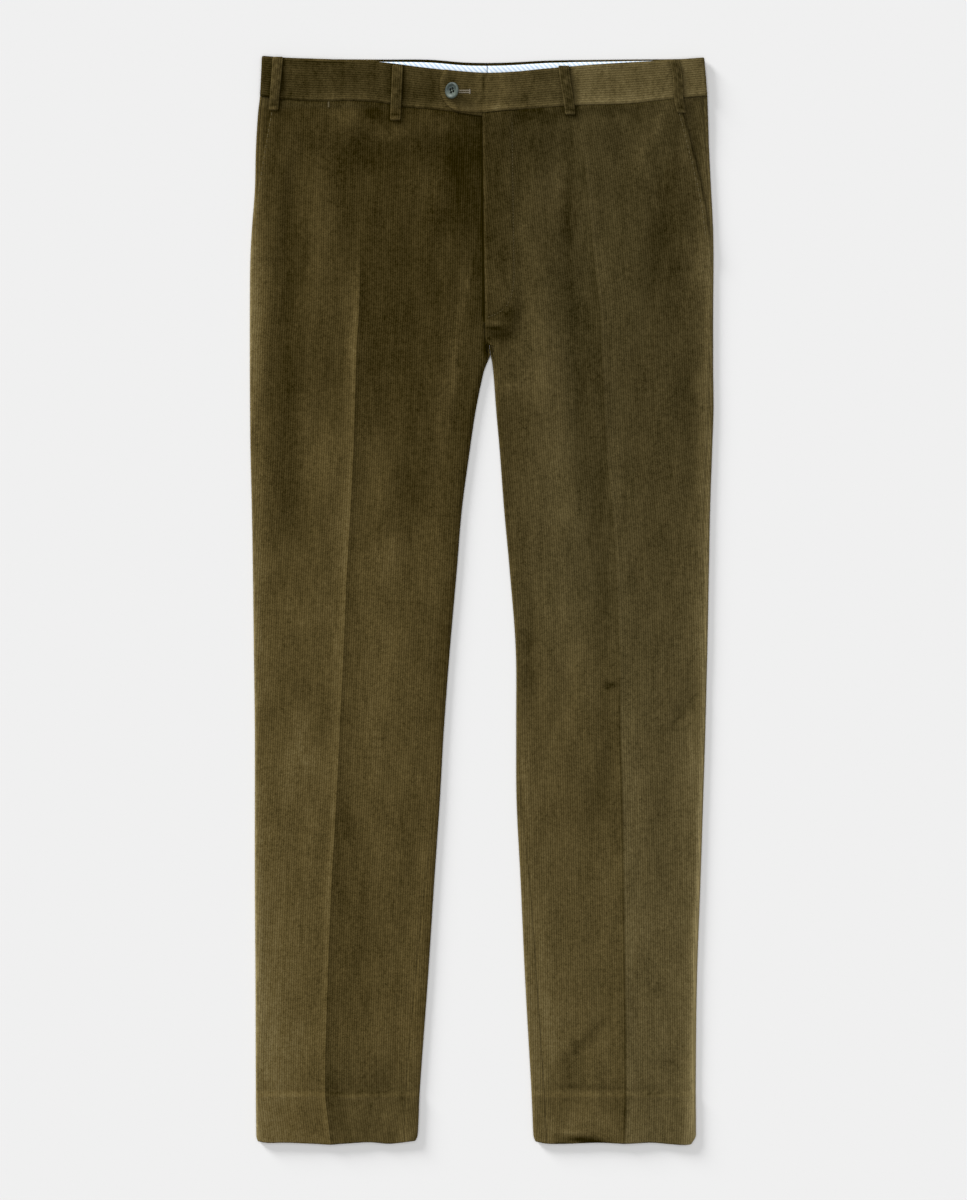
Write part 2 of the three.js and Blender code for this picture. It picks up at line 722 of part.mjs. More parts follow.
// Belt loops on the front, each a strip from the band's top edge to just below the waist seam
const frontLoops = [
  { name: 'belt_loop_right_side', topX: -203.5, topY: 542.2, footX: -208, footY: 488.7 },
  { name: 'belt_loop_right_front', topX: -84, topY: 534.4, footX: -86.5, footY: 478.7 },
  { name: 'belt_loop_left_front', topX: 81.8, topY: 533.2, footX: 88.2, footY: 484.4 },
  { name: 'belt_loop_left_side', topX: 191.8, topY: 539.4, footX: 199.6, footY: 486.2 },
];
const loopArch = 1.0;
const loopParts = [0, 0.06, 0.2, 0.35, 0.5, 0.65, 0.78, 0.88, 0.95, 1];

function frontLoop(loop) {
  const rows = loopParts.map((part) => {
    const x = mix(loop.topX, loop.footX, part);
    const y = mix(loop.topY, loop.footY, part);
    const across = [-0.5, 0, 0.5].map((t) => x + t * loopWidth);
    const seat = Math.max(...across.map((at) => frontSurface(at, y)));
    const under = seat + layerGap + loopArch * Math.sin(Math.PI * part);
    return across.map((at, j) => ({
      x: at,
      y,
      z: under,
      wall: j === 1 ? loopWall + loopCrown : loopWall,
    }));
  });
  return layerGeometry(rows);
}

// Belt loops on the back. The garment lies on them, so their undersides are flat.
const backLoops = [
  { name: 'belt_loop_back_right', x: -112 },
  { name: 'belt_loop_back_centre', x: backSeamX },
  { name: 'belt_loop_back_left', x: 124 },
];
const backLoopFoot = 12;

function backLoop(loop) {
  const top = Math.min(
    column(backTopEdge, 'x', 'y', loop.x - loopWidth / 2),
    column(backTopEdge, 'x', 'y', loop.x + loopWidth / 2),
  );
  const foot = backSeam(loop.x) - backLoopFoot;
  const heights = [top, top - loopCorner, foot + loopCorner, foot];
  const rows = heights.map((y) => {
    const half = loopWidth / 2 - (y === top || y === foot ? loopCorner : 0);
    return [-half, 0, half].map((dx) => ({ x: loop.x + dx, y, z: 0, wall: loopWall }));
  });
  return layerGeometry(rows);
}

// The button and its thread shank, and a solid from a closed geometry for cutting its holes
function solidFrom(geometry) {
  geometry.deleteAttribute('normal');
  geometry.deleteAttribute('uv');
  const merged = mergeVertices(geometry, 1e-4);
  return new wasm.Manifold(new wasm.Mesh({
    numProp: 3,
    vertProperties: merged.attributes.position.array,
    triVerts: new Uint32Array(merged.index.array),
  }));
}

function geometryFrom(solid) {
  const mesh = solid.getMesh();
  const geometry = new THREE.BufferGeometry();
  geometry.setAttribute('position', new THREE.BufferAttribute(mesh.vertProperties, 3));
  geometry.setIndex(new THREE.BufferAttribute(mesh.triVerts, 1));
  const flat = geometry.toNonIndexed();
  flat.computeVertexNormals();
  return flat;
}

const buttonHoleRadius = 0.85;
const buttonHoleSpacing = 2.9;
const buttonSides = 28;
const drillLength = 8;

// The button's profile from the middle of its back round the rim to the middle of its face
const buttonProfile = [
  { radius: 0, height: 0 },
  { radius: 6.85, height: 0 },
  { radius: 7.95, height: 0.8 },
  { radius: buttonDiameter / 2, height: 1.6 },
  { radius: 7.75, height: 2.5 },
  { radius: 6.85, height: 2.8 },
  { radius: 5.65, height: 2.5 },
  { radius: 4.65, height: 1.9 },
  { radius: 0, height: 1.8 },
];

function buttonGeometry() {
  const profile = buttonProfile.map((p) => new THREE.Vector2(p.radius, p.height));
  const disc = new THREE.LatheGeometry(profile, buttonSides);
  disc.rotateX(Math.PI / 2);
  let solid = solidFrom(disc);
  for (const [sx, sy] of [[-1, -1], [-1, 1], [1, -1], [1, 1]]) {
    const drill = new THREE.CylinderGeometry(buttonHoleRadius, buttonHoleRadius, drillLength, 8);
    drill.rotateX(Math.PI / 2);
    drill.translate((sx * buttonHoleSpacing) / 2, (sy * buttonHoleSpacing) / 2, 0);
    solid = solid.subtract(solidFrom(drill));
  }
  return geometryFrom(solid);
}

const buttonPlace = { x: -29.1, y: 508.9 };
const shankPlace = { x: -28.8, y: 508.9 };
const shankRadius = 1.7;
const shankRoom = 2.2;
const buttonFootRadius = 7.35;

// Materials

function cloth(color) {
  return new THREE.MeshStandardMaterial({ color, roughness: 0.95, metalness: 0 });
}

const corduroyColor = 0x4d4226;
const liningColor = 0xd8e3ed;
const buttonColor = 0x66706c;
const threadColor = 0x5a4f3a;

const trousers = new THREE.Group();

function add(name, geometry, material) {
  const mesh = new THREE.Mesh(geometry, material);
  mesh.name = name;
  trousers.add(mesh);
  return mesh;
}

for (const [name, leg] of Object.entries(legs)) {
  add(`back_${name}`, backPanel(leg), cloth(corduroyColor));
  add(`front_${name}`, frontPanel(leg), cloth(corduroyColor));
  add(`pocket_facing_${name}`, pocketFacing(leg), cloth(corduroyColor));
  add(`waistband_${name}`, waistband(leg.side), cloth(corduroyColor));
  add(`waistband_lining_${name}`, waistLining(leg.side), cloth(liningColor));
}
for (const loop of frontLoops) add(loop.name, frontLoop(loop), cloth(corduroyColor));
for (const loop of backLoops) add(loop.name, backLoop(loop), cloth(corduroyColor));

// The button leans on its left rim, lifted to the right by the pull of its shank.
const tabTop = bandFrontLevel(1, buttonPlace.x) + bandWall;
const buttonLift = layerGap + buttonFootRadius * Math.sin(buttonTilt);
const button = add(
  'button',
  buttonGeometry(),
  new THREE.MeshStandardMaterial({ color: buttonColor, roughness: 0.35, metalness: 0 }),
);
button.rotation.y = -buttonTilt;
button.position.set(buttonPlace.x, buttonPlace.y, tabTop + buttonLift);

const shankHeight = buttonLift - shankRoom;
const shank = add(
  'button_shank',
  new THREE.CylinderGeometry(shankRadius, shankRadius, shankHeight, 10),
  cloth(threadColor),
);
shank.rotation.x = Math.PI / 2;
shank.position.set(shankPlace.x, shankPlace.y, tabTop + layerGap + shankHeight / 2);

// The origin is the middle of the garment's box, on the surface it lies on.
trousers.updateMatrixWorld(true);
const box = new THREE.Box3().setFromObject(trousers, true);
trousers.position.set(-(box.min.x + box.max.x) / 2, -(box.min.y + box.max.y) / 2, -box.min.z);

export default trousers;
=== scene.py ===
import math

import bpy
import numpy as np
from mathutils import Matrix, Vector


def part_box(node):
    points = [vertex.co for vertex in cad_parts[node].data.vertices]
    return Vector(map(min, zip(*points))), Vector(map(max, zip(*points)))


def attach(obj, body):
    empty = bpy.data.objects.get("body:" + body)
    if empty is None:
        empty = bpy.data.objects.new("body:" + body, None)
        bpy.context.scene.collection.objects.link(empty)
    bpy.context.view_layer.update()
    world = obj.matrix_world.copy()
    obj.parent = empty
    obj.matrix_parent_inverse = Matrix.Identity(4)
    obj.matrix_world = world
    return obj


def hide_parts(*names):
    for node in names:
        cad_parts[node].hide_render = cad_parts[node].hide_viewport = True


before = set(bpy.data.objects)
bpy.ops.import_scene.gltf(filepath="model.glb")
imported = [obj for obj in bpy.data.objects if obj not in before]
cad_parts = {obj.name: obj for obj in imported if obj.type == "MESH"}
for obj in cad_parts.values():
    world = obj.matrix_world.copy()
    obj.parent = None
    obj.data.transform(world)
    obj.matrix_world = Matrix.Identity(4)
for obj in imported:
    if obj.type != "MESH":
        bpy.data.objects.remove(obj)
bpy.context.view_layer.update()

# Corduroy trousers laid flat with the front side up. Sizes and places are in millimetres in the
# CAD source's own frame: +X is the wearer's left, +Y points to the waist, +Z is up.
MM = 0.001

# Driving sizes, the same as the solids have
CLOTH_WALL = 1.4
BAND_WALL = 1.8
LINING_WALL = 1.0
LOOP_WALL = 1.2
HEM_WALL = 2.4
SEAM_GAP = 0.3
LAYER_GAP = 0.35
STITCHED_GAP = 0.06
LEAST_LIP = 0.2
TINY_ANGLE = 0.01
HEM_TOP = -493
LOOP_WIDTH = 11
BACK_LOOP_RISE = 1.5
LINING_HEIGHT = 36
LINING_INSET = 2.2
BUTTON_TILT = math.radians(36)

# The air left between the back and front layers
LEG_AIR = 1.5
HEM_AIR = 0.6
WAIST_AIR = 1.0
LEAST_AIR = 0.4
MOST_AIR = 3.7
CREASE_RISE = 1.3
CREASE_WIDTH = 6

# Heights up the garment where its parts begin and end
PANEL_TOP = 486
BEND_FOOT = 430
BACK_RISE_FOOT = 440
BACK_RISE_TOP = 480
HEM_SLOPE_FOOT = -500
HEM_SLOPE_TOP = -480
HEM_STEP = 4
CROTCH_TOP = 256
CROTCH_MIDDLE = 248
CROTCH_FOOT = 240
CROTCH_INSET = 3.8
FLY_FOOT = 276
FLY_LIFT_END = 258
POCKET_FOOT = 352
POCKET_LIFT_END = 326
POCKET_ZONE_X = 180
POCKET_LIFT_NEAR = 22
POCKET_LIFT_FAR = 40
FLY_LIFT_NEAR = 26
FLY_LIFT_FAR = 38
CREASE_FADE = {"right": (300, 370), "left": (420, 470)}
BACK_SEAM_X = 6
BACK_SEAM_MIDDLE = 497.4
BACK_SEAM_SIDE_RISE = 6.2
WAIST_HALF_WIDTH = 222
FLY_UNDERLAP = 24


def table(names, *rows):
    """Rows of numbers as named columns."""
    return dict(zip(names.split(), np.array(rows, float).T))


# Outlines of the legs: at each height the silhouette's outer edge, the pressed crease, the inner
# edge, and how far each seam lies in from its edge
RIGHT_LEG = table(
    "y outer crease inner outer_inset inner_inset",
    (503, -221.8, -118, 6, 2.4, 0), (486, -223.8, -119, 6, 2.4, 0), (450, -226, -120, 6, 2.4, 0),
    (410, -227, -121, 6, 2.4, 0), (370, -230, -122, 6, 2.4, 0), (338, -231.6, -122, 6, 2.4, 0),
    (290, -232, -122.9, 6.3, 2.4, 0), (256, -232, -125.3, 7.2, 2.4, 2.4),
    (248, -232, -125.5, 8.0, 2.4, 2.4), (244, -232, -125.6, 8.2, 2.4, 2.4),
    (240, -232, -125.7, 6.6, 2.4, 2.4), (230, -232, -126, 2.4, 2.4, 2.4),
    (190, -231.8, -127.2, -6, 2.4, 2.4), (150, -231.4, -128.5, -12, 2.4, 2.4),
    (90, -230, -131.5, -20, 2.4, 2.4), (30, -229, -135, -25, 2.4, 2.4),
    (-50, -228, -138.4, -32, 2.4, 2.4), (-130, -227, -142.2, -38, 2.4, 2.4),
    (-200, -227, -145.6, -42, 2.4, 3.6), (-280, -227, -150.2, -47.5, 2.4, 8),
    (-380, -226.4, -154.2, -54, 2.4, 12), (-490, -226, -156.8, -62, 2.4, 13.5),
    (-532, -225.6, -152.5, -63.8, 2.4, 13), (-540, -225.4, -151.5, -64.6, 2.4, 12),
    (-544, -224, -151, -66.4, 2.4, 10),
)
LEFT_LEG = table(
    "y outer crease inner outer_inset inner_inset",
    (503, 225.2, 90, 6, 4, 0), (486, 225.8, 94, 6, 3.8, 0), (450, 227, 101, 6, 2.8, 0),
    (410, 229, 106, 6, 2.6, 0), (370, 231, 110, 6, 3.6, 0), (338, 231.4, 113, 6, 2.4, 0),
    (290, 231, 118.5, 6.3, 2.4, 0), (256, 231, 119.7, 7.2, 2.8, 2.4), (248, 231, 120, 8.1, 3, 2.4),
    (244, 231, 120.3, 8.6, 3.1, 2.4), (240, 231, 120.5, 9.6, 3.2, 2.4),
    (230, 231, 121, 11, 3.4, 2.4), (190, 231.4, 123, 14, 4.2, 2.4), (150, 230, 125, 17.5, 5, 2.4),
    (90, 228, 131, 22, 6, 2.4), (30, 226.8, 135, 27.5, 5.4, 2.4), (-50, 225.2, 138, 33.6, 2.6, 2.4),
    (-130, 223.2, 138.6, 34, 2.4, 2.4), (-200, 221, 140.4, 34.4, 2.4, 5),
    (-280, 218.4, 141.8, 38.4, 2.4, 9.4), (-380, 214.8, 143.2, 43, 2.4, 12),
    (-490, 213.6, 144, 49.2, 2.4, 13.2), (-532, 213.8, 143, 51, 2.4, 13.4),
    (-540, 213.2, 142.6, 51.6, 2.4, 12.8), (-544, 209, 142.5, 53.4, 2.4, 11),
)

# The lower edge of each hem, which lies in slight waves
RIGHT_HEM = table(
    "x y",
    (-226, -540), (-215.6, -542.1), (-194, -542), (-165.6, -543.3), (-151.3, -543.9),
    (-137, -542.9), (-112.7, -541.6), (-92.7, -543.1), (-79.9, -541.9), (-66.3, -540),
)
LEFT_HEM = table(
    "x y",
    (51.6, -540.3), (64.4, -542.9), (80, -543.2), (117, -542), (144, -543.1), (169, -542),
    (190, -543.6), (207, -543.9), (213.7, -539.6),
)
HEM_WAVE_TOP = -526
HEM_FOOT = -544

# The slanted front pocket openings
RIGHT_POCKET = table(
    "y x",
    (502, -209), (485, -212), (462, -216), (436, -220.5), (413, -224), (386, -227.4), (352, -231),
)
LEFT_POCKET = table(
    "y x",
    (502, 197), (485, 201.5), (446, 211.6), (412, 219.6), (389, 224), (369, 226.8), (352, 231),
)

# Free edges at the centre front: the fly edge and its underlap, then the crotch seam
UNDERLAP_EDGE = table("y x", (500, 24), (298, 24), (290, 18), (276, 2.6), (262, 3), (256, 4))
FLY_EDGE = table("y x", (500, 0), (283, 3), (276, 3), (262, 3), (256, 4))

# Waist seams and waistband top edges, as heights across the garment
RIGHT_WAIST = table(
    "x y",
    (-224, 503.8), (-202, 500.3), (-167, 497.8), (-126, 498.3), (-99, 496.2), (-78, 492.4),
    (-31, 488), (-4, 483.8), (24, 482),
)
LEFT_WAIST = table(
    "x y",
    (-35, 489), (-12, 486.8), (0, 486.4), (20, 488.4), (44, 490.2), (95, 494), (144, 495.4),
    (180, 499), (204, 501.8), (227, 503.8),
)
FRONT_TOP = table(
    "x y",
    (-222, 543.6), (-196, 541.6), (-142, 539.6), (-100, 537), (-52, 531), (8, 526.2), (68, 531),
    (116, 535), (176, 538.6), (212, 541), (224, 542),
)
BACK_TOP = table(
    "x y",
    (-222, 543.6), (-184, 541), (-100, 540), (-52, 539.8), (-16, 537), (20, 536.8), (68, 539),
    (140, 540), (200, 540.6), (224, 542),
)
BAND_SIDES = {"right": (-219.8, -221.8), "left": (222, 225.2)}
TAB_ARC = {"x": -17, "y": 511, "radius": 26}

# Large soft folds of the front cloth, as the solids have them
FRONT_FOLDS = table(
    "x y along across lean rise",
    (-162, 400, 80, 17, 0, 0.9), (-192, 300, 150, 14, -2, -0.8), (-92, 446, 34, 60, 0, -0.7),
    (-160, 130, 60, 20, 0, 0.8), (-25, 270, 90, 12, 6, -0.8), (-70, 100, 70, 18, 4, -0.7),
    (-50, -60, 110, 12, 5, -0.8), (-165, -10, 50, 22, -8, 0.8), (58, 260, 170, 14, -1, 1.1),
    (96, 245, 150, 15, -4, -0.9), (165, 440, 40, 14, 20, 0.9), (198, -115, 34, 10, 38, -0.9),
    (48, -60, 70, 8, 0, -0.8), (108, -446, 34, 9, 40, -0.8), (185, -465, 12, 28, 0, -0.7),
)

# Smaller creases and brushed patches of the pile. Each has its middle, its reach
# along and across itself, its lean to the wearer's left at the top in degrees, and how much
# lighter or darker it is painted: partly the pile's own brushed tone, partly painted highlight
# and painted shade on small folds, ridges and edges. The cloth rises or sinks with it.
MARK_RISE = 0.6
MARKS = table(
    "x y along across lean tone",
    (-132, 480, 13, 22, 0, 0.26), (-89, 465, 7, 20, 0, 0.3), (-44, 474, 7, 18, 0, 0.22),
    (-57, 419, 24, 18, 8, 0.2), (-92, 446, 22, 70, 0, -0.16), (-22, 430, 60, 16, 0, -0.26),
    (-195, 338, 110, 6, 0, -0.16), (-190, 140, 80, 20, 0, -0.12), (-162, 400, 60, 16, 0, 0.24),
    (-188, 450, 22, 7, 0, 0.22), (-160, 320, 60, 24, 0, 0.22), (-160, 140, 46, 26, 10, 0.42),
    (-138, 80, 30, 14, 10, 0.24), (-226, 340, 90, 8, 0, 0.42), (-224, 250, 60, 8, 0, 0.46),
    (-222, 120, 70, 8, 0, 0.34), (-34, 320, 40, 7, 4, 0.14), (28, 213, 4, 10, 0, 0.35),
    (-87, 222, 2.5, 32, 0, 0.15), (-106, 138, 38, 12, 0, 0.24), (-100, 38, 24, 18, 30, 0.34),
    (-167, -15, 12, 15, 0, 0.28), (-142, 40, 17, 6, 0, 0.28), (-217, 29, 12, 7, 0, 0.32),
    (-70, 107, 24, 14, 0, -0.24), (-41, -66, 85, 8, 4, -0.32), (46, 370, 46, 10, 0, 0.26),
    (98, 370, 60, 12, 0, 0.26), (60, 235, 60, 26, 0, 0.4), (72, 125, 60, 20, 0, 0.4),
    (94, 244, 145, 12, -4, -0.2), (118, 57, 94, 11, -3, -0.22), (180, 360, 80, 24, 0, -0.28),
    (25, 285, 12, 16, -20, -0.22), (173, 470, 28, 3.2, 25, 0.38), (168, 417, 30, 3.2, -14, 0.32),
    (221, 330, 26, 9, 0, 0.42), (224, 200, 90, 7, 0, 0.36), (222, 60, 80, 7, 0, 0.36),
    (218, -40, 40, 7, 0, 0.42), (127, -86, 3.5, 9, 0, -0.38), (198, -115, 32, 5, 38, -0.34),
    (203, -163, 50, 12, 0, 0.22), (155, -206, 44, 8, 0, 0.28), (81, -8, 14, 22, 0, 0.2),
    (48, -60, 50, 6, 0, -0.3), (44, -183, 66, 6, 0, 0.28), (113, -176, 34, 18, 0, -0.18),
    (100, -442, 34, 4.5, 45, -0.35), (92, -436, 28, 6, 45, 0.2), (176, -388, 9, 5, 10, -0.3),
    (188, -465, 6, 16, 10, -0.3), (-186, -150, 44, 10, 12, 0.34), (-104, -60, 60, 18, 4, 0.22),
    (-158, -110, 34, 8, 0, -0.2), (-120, -350, 60, 24, 0, -0.14), (-163, -375, 40, 12, 0, -0.16),
    (-150, -492, 40, 12, -10, -0.28), (-206, -440, 50, 10, 0, 0.18), (-141, -240, 60, 8, 2, -0.2),
    (139, -230, 70, 6, -2, 0.18), (113, -200, 24, 12, 0, -0.14), (84, -480, 34, 17, 35, -0.34),
    (166, -490, 16, 14, 0, -0.24), (165, -340, 40, 24, 0, 0.12), (66, -410, 60, 12, -4, 0.16),
    (105, -520, 9, 20, 0, 0.28), (-110, 487, 9, 12, 25, -0.34), (-138, 486, 7, 14, 0, 0.18),
    (58, 484, 7, 26, 0, -0.28), (128, 489, 6, 34, 0, -0.28), (14, 482, 7, 11, 0, 0.15),
    (-212, -120, 10, 9, 0, -0.22), (-168, -160, 15, 12, 30, 0.24), (-178, -252, 5, 20, 10, -0.2),
    (-133, -222, 18, 9, 0, -0.2), (-108, -140, 50, 15, 0, 0.2), (-72, -228, 50, 9, 4, -0.12),
    (-108, -435, 24, 20, 0, 0.14), (-115, -482, 8, 30, 0, -0.16), (48, -40, 50, 8, 0, -0.16),
    (120, -70, 80, 11, 0, -0.16), (180, -240, 40, 8, 0, -0.12), (118, -210, 30, 18, 0, -0.12),
    (88, -406, 13, 10, 0, 0.18), (-150, -525, 7, 24, 0, -0.12), (-90, -518, 12, 14, 0, 0.1),
    (-131, 255, 46, 5, 0, 0.34), (-180, 335, 40, 10, 0, -0.22), (-135, 165, 50, 28, 0, 0.12),
    (-195, 80, 24, 15, 0, -0.16), (-165, -122, 22, 12, 0, -0.18), (-196, -78, 28, 9, 0, -0.15),
    (-192, -192, 46, 10, 0, 0.18), (-160, -242, 14, 9, 0, -0.15), (-122, -310, 22, 10, 0, -0.12),
    (-200, -355, 44, 14, 0, 0.15), (-98, -375, 34, 10, 0, 0.12), (-190, -465, 44, 16, 0, 0.14),
    (-78, -500, 14, 9, 0, -0.24), (42, 368, 40, 8, 0, 0.15), (86, 396, 52, 6, 0, -0.26),
    (158, 450, 26, 12, 0, 0.18), (203, 452, 18, 4, 0, 0.14), (118, 302, 18, 10, 0, -0.18),
    (12, 218, 22, 5, 0, 0.24), (112, 150, 52, 7, 0, 0.2), (66, 25, 26, 24, 0, 0.12),
    (152, -20, 50, 10, 0, -0.1), (90, -62, 26, 10, 0, 0.14), (34, -86, 20, 6, 0, -0.2),
    (116, -182, 26, 8, 0, -0.16), (131, -262, 36, 8, 0, 0.12), (50, -425, 90, 12, -2, 0.2),
    (140, -500, 16, 34, 0, -0.14), (62, -506, 12, 9, 0, -0.16), (-174, 190, 46, 8, 0, 0.28),
    (-146, 178, 15, 10, 0, -0.28), (-177, 80, 26, 8, 0, -0.14), (-180, -60, 26, 10, 0, -0.14),
    (-142, -115, 30, 9, 0, -0.14), (-152, -226, 14, 8, 0, -0.24), (-174, -215, 80, 9, 0, 0.2),
    (-162, 5, 18, 8, 0, 0.18), (-107, 95, 28, 13, 0, 0.16), (-128, 290, 20, 7, 0, 0.16),
    (-217, 322, 22, 8, 0, 0.28), (-17, 318, 34, 8, 0, 0.22), (-36, 220, 56, 9, 6, 0.2),
    (8, 320, 16, 6, 0, 0.12), (18, 220, 20, 8, 0, 0.22), (78, 415, 38, 7, 0, 0.24),
    (44, 372, 46, 9, 0, -0.14), (98, 375, 32, 7, 0, -0.14), (116, 320, 32, 7, 0, 0.15),
    (58, 300, 40, 13, 0, 0.12), (133, 122, 74, 7, 0, 0.26), (103, 82, 24, 9, 0, 0.15),
    (86, 60, 46, 12, 0, 0.1), (118, -72, 12, 9, 0, 0.18), (53, -92, 16, 7, 0, -0.18),
    (113, -172, 32, 8, 0, 0.18), (133, -245, 20, 8, 0, -0.14), (148, -100, 52, 7, 0, 0.12),
    (150, -310, 48, 8, 0, 0.1), (183, -122, 16, 11, 0, 0.18), (193, -270, 16, 8, 0, -0.12),
    (178, 452, 28, 9, 0, 0.18), (158, 372, 26, 9, 0, 0.12), (216, 335, 16, 8, 0, 0.2),
    (63, -360, 54, 8, -2, 0.2), (48, -332, 20, 6, 0, 0.14), (68, -450, 48, 9, -3, 0.22),
    (48, -462, 18, 6, 0, -0.14), (68, -530, 9, 11, 0, 0.2), (-182, -436, 26, 15, 0, 0.2),
    (-192, -538, 5, 22, 0, 0.26), (-222, -490, 40, 5, 0, -0.2), (-197, -322, 18, 6, 0, -0.18),
    (-92, -462, 20, 9, 0, -0.14), (-58, -300, 50, 7, 5, 0.1), (-112, -510, 14, 14, 0, 0.1),
    (-222, -140, 24, 5, 0, -0.2), (134, -510, 10, 9, 0, -0.1), (-203, 18, 16, 7, 0, -0.08),
    (198, 200, 30, 8, 0, -0.1), (120, 50, 30, 9, 0, 0.1), (-27, 235, 60, 6, 8, 0.3),
    (-42, 160, 44, 6, 5, 0.2), (-47, 40, 50, 6, 0, 0.14), (70, 400, 40, 10, 0, 0.16),
    (38, 375, 26, 8, 0, 0.14), (216, 450, 40, 6, 0, -0.14), (209, -150, 32, 5, 0, 0.4),
    (208, -515, 30, 4.5, 0, 0.42), (208, -450, 38, 5, 0, 0.3), (38, -350, 50, 5, -2, 0.2),
    (-200, -250, 30, 10, 0, 0.12), (-180, -180, 20, 8, 0, 0.1), (118, -92, 20, 8, 0, 0.1),
    (-224, -135, 22, 4, 0, -0.26), (-223, -488, 26, 6, 0, -0.4), (207, 215, 20, 5, 0, -0.26),
    (-227, 80, 26, 4, 0, -0.16), (105, -262, 18, 7, 0, -0.12), (150, -405, 24, 8, 0, -0.1),
    (-223, -70, 24, 4, 0, -0.16), (-160, -60, 26, 8, 0, -0.07),
)

# Small creases of the cloth with a crisp edge, which have a rise of their own, and a tone
# that is painted highlight on their ridges and painted shade in their hollows
SMALL_MARKS = table(
    "x y along across lean rise tone",
    (-14, 315, 24, 1.4, 9, 0.3, 0.3), (-17, 300, 13, 0.9, 10, 0.1, 0.5),
    (-10.6, 320, 32, 1.8, 9, -0.4, -0.26), (-23.5, 308, 20, 1.2, 5, 0.2, 0.18),
    (-26.5, 246, 36, 1.3, 3, 0.2, 0.26), (-23.6, 246, 34, 1.6, 3, -0.3, -0.14),
    (14, 276.4, 2.4, 8, 3, 0.7, 0.5), (12, 271.5, 1.4, 9, 4, -0.4, -0.3),
    (21, 265, 8, 14, 0, -0.4, -0.32), (8, 256, 7, 1.4, -32, 0.4, 0.5),
    (3.6, 250, 8, 3.2, 0, -0.2, -0.5), (24, 300, 12, 2, -20, 0.3, 0.2),
    (14, 308, 20, 8, 0, 0.2, 0.16), (27, 292, 8, 2, -38, -0.3, -0.24),
    (127, -86, 2.6, 8, 0, -0.35, -0.34), (-160, -172, 1.4, 18, 20, -0.2, -0.2),
    (-157, -168, 1.6, 16, 20, 0.2, 0.16), (176, -493, 1, 16, -4, -0.2, -0.34),
    (219, 480, 26, 1.6, 3, 0.1, 0.34), (99, -538.4, 3.4, 19, 0, 0.2, -1.0),
    (113, -541, 1.6, 12, 0, 0.1, -0.8), (79, -542, 1.5, 8, 0, 0.1, -0.6),
    (90, -532, 1.8, 15, 0, 0.5, 0.3), (114, -535.6, 1.6, 11, 6, 0.3, 0.16),
    (105, -486.6, 2.2, 38, 2, -0.15, -0.22), (108, -492.6, 2.8, 34, 0, 0.1, 0.14),
    (92, -500.5, 1.2, 9, 8, -0.2, -0.26), (-123, -492, 1.8, 27, 0, -0.15, -0.26),
    (-120, -496.6, 2.6, 26, 0, 0.15, 0.16), (-190, -495, 2.6, 30, 0, 0.15, 0.18),
    (-80, -498, 3.4, 4, 0, -0.1, -0.26), (-213, -494, 2.2, 9, 0, -0.1, -0.16),
)
# Marks on the waistband, in the same columns as the marks above: patches of its pile, and painted
# highlight and painted shade along its edges and beside the loops
BAND_MARKS = table(
    "x y along across lean tone",
    (62, 524, 7, 15, 0, -0.34), (16, 491.6, 3, 19, 0, 0.3), (24, 509, 7, 13, 0, 0.16),
    (44, 501, 6, 6, 0, -0.22), (75, 504, 7, 5, 0, -0.2), (96, 515, 22, 3.5, 6, -0.26),
    (106, 517, 4, 4, 0, -0.2), (132, 535.6, 1.4, 19, 0, -0.4), (158, 522, 8, 13, 0, -0.26),
    (130, 508, 6, 18, 0, -0.1), (217, 537, 4, 5, 0, -0.34), (-216, 520, 14, 5, 0, -0.1),
    (203, 536, 5, 9, 0, 0.24), (-160, 512, 10, 24, 0, 0.08), (-55, 505, 16, 14, 0, -0.1),
    (-120, 525, 8, 22, 0, -0.08), (-163, 539.6, 1.4, 13, 2, 0.5), (-158, 537.2, 0.8, 34, 0.8, -0.4),
    (-175, 541.5, 1.6, 40, 0, 0.4), (196, 534, 9, 10, 0, 0.18), (-138, 538.8, 1, 22, 1, 0.34),
    (132, 500.6, 4.5, 30, 0, 0.16), (112, 530, 4, 14, 0, 0.1), (176, 506, 6, 10, 0, 0.14),
    (150, 530, 2.6, 18, 0, -0.16), (120, 521, 2, 12, 0, -0.12), (214, 508, 8, 9, 0, 0.12),
    (-33, 515, 9, 12, 0, -0.16), (-175, 528, 3, 16, 0, 0.1), (-142, 504, 3, 18, 0, 0.1),
    (-105, 514, 6, 14, 0, 0.08), (-66, 522, 7, 10, 0, 0.08), (34, 519, 3, 14, 0, -0.12),
    (112, 508, 2, 20, 0, 0.08),
)

# How light the cloth is painted down each leg, at its outer side, beside the crease and at its
# inner side: darker at the thighs and lighter towards the hems
RIGHT_TONE = table(
    "y outer middle inner",
    (500, 0.15, 0.08, 0.05), (300, 0.14, 0.10, 0.03), (150, 0.19, 0.20, 0.12),
    (0, 0.50, 0.52, 0.44), (-150, 0.61, 0.60, 0.56), (-300, 0.80, 0.57, 0.50),
    (-400, 0.92, 0.54, 0.52), (-544, 1.0, 0.52, 0.48),
)
LEFT_TONE = table(
    "y outer middle inner",
    (500, 0.30, 0.18, 0.04), (300, 0.25, 0.28, 0.11), (150, 0.27, 0.31, 0.27),
    (0, 0.43, 0.47, 0.50), (-150, 0.51, 0.53, 0.60), (-350, 0.68, 0.64, 0.62),
    (-544, 0.72, 0.68, 0.65),
)
BAND_TONE = table(
    "x tone",
    (-224, 0.02), (-150, 0.04), (-90, 0.02), (-50, 0.0), (-38, 0.20), (-10, 0.28), (20, 0.38),
    (60, 0.40), (82, 0.46), (96, 0.90), (150, 0.98), (176, 0.84), (196, 0.74), (212, 0.94),
    (228, 0.86),
)


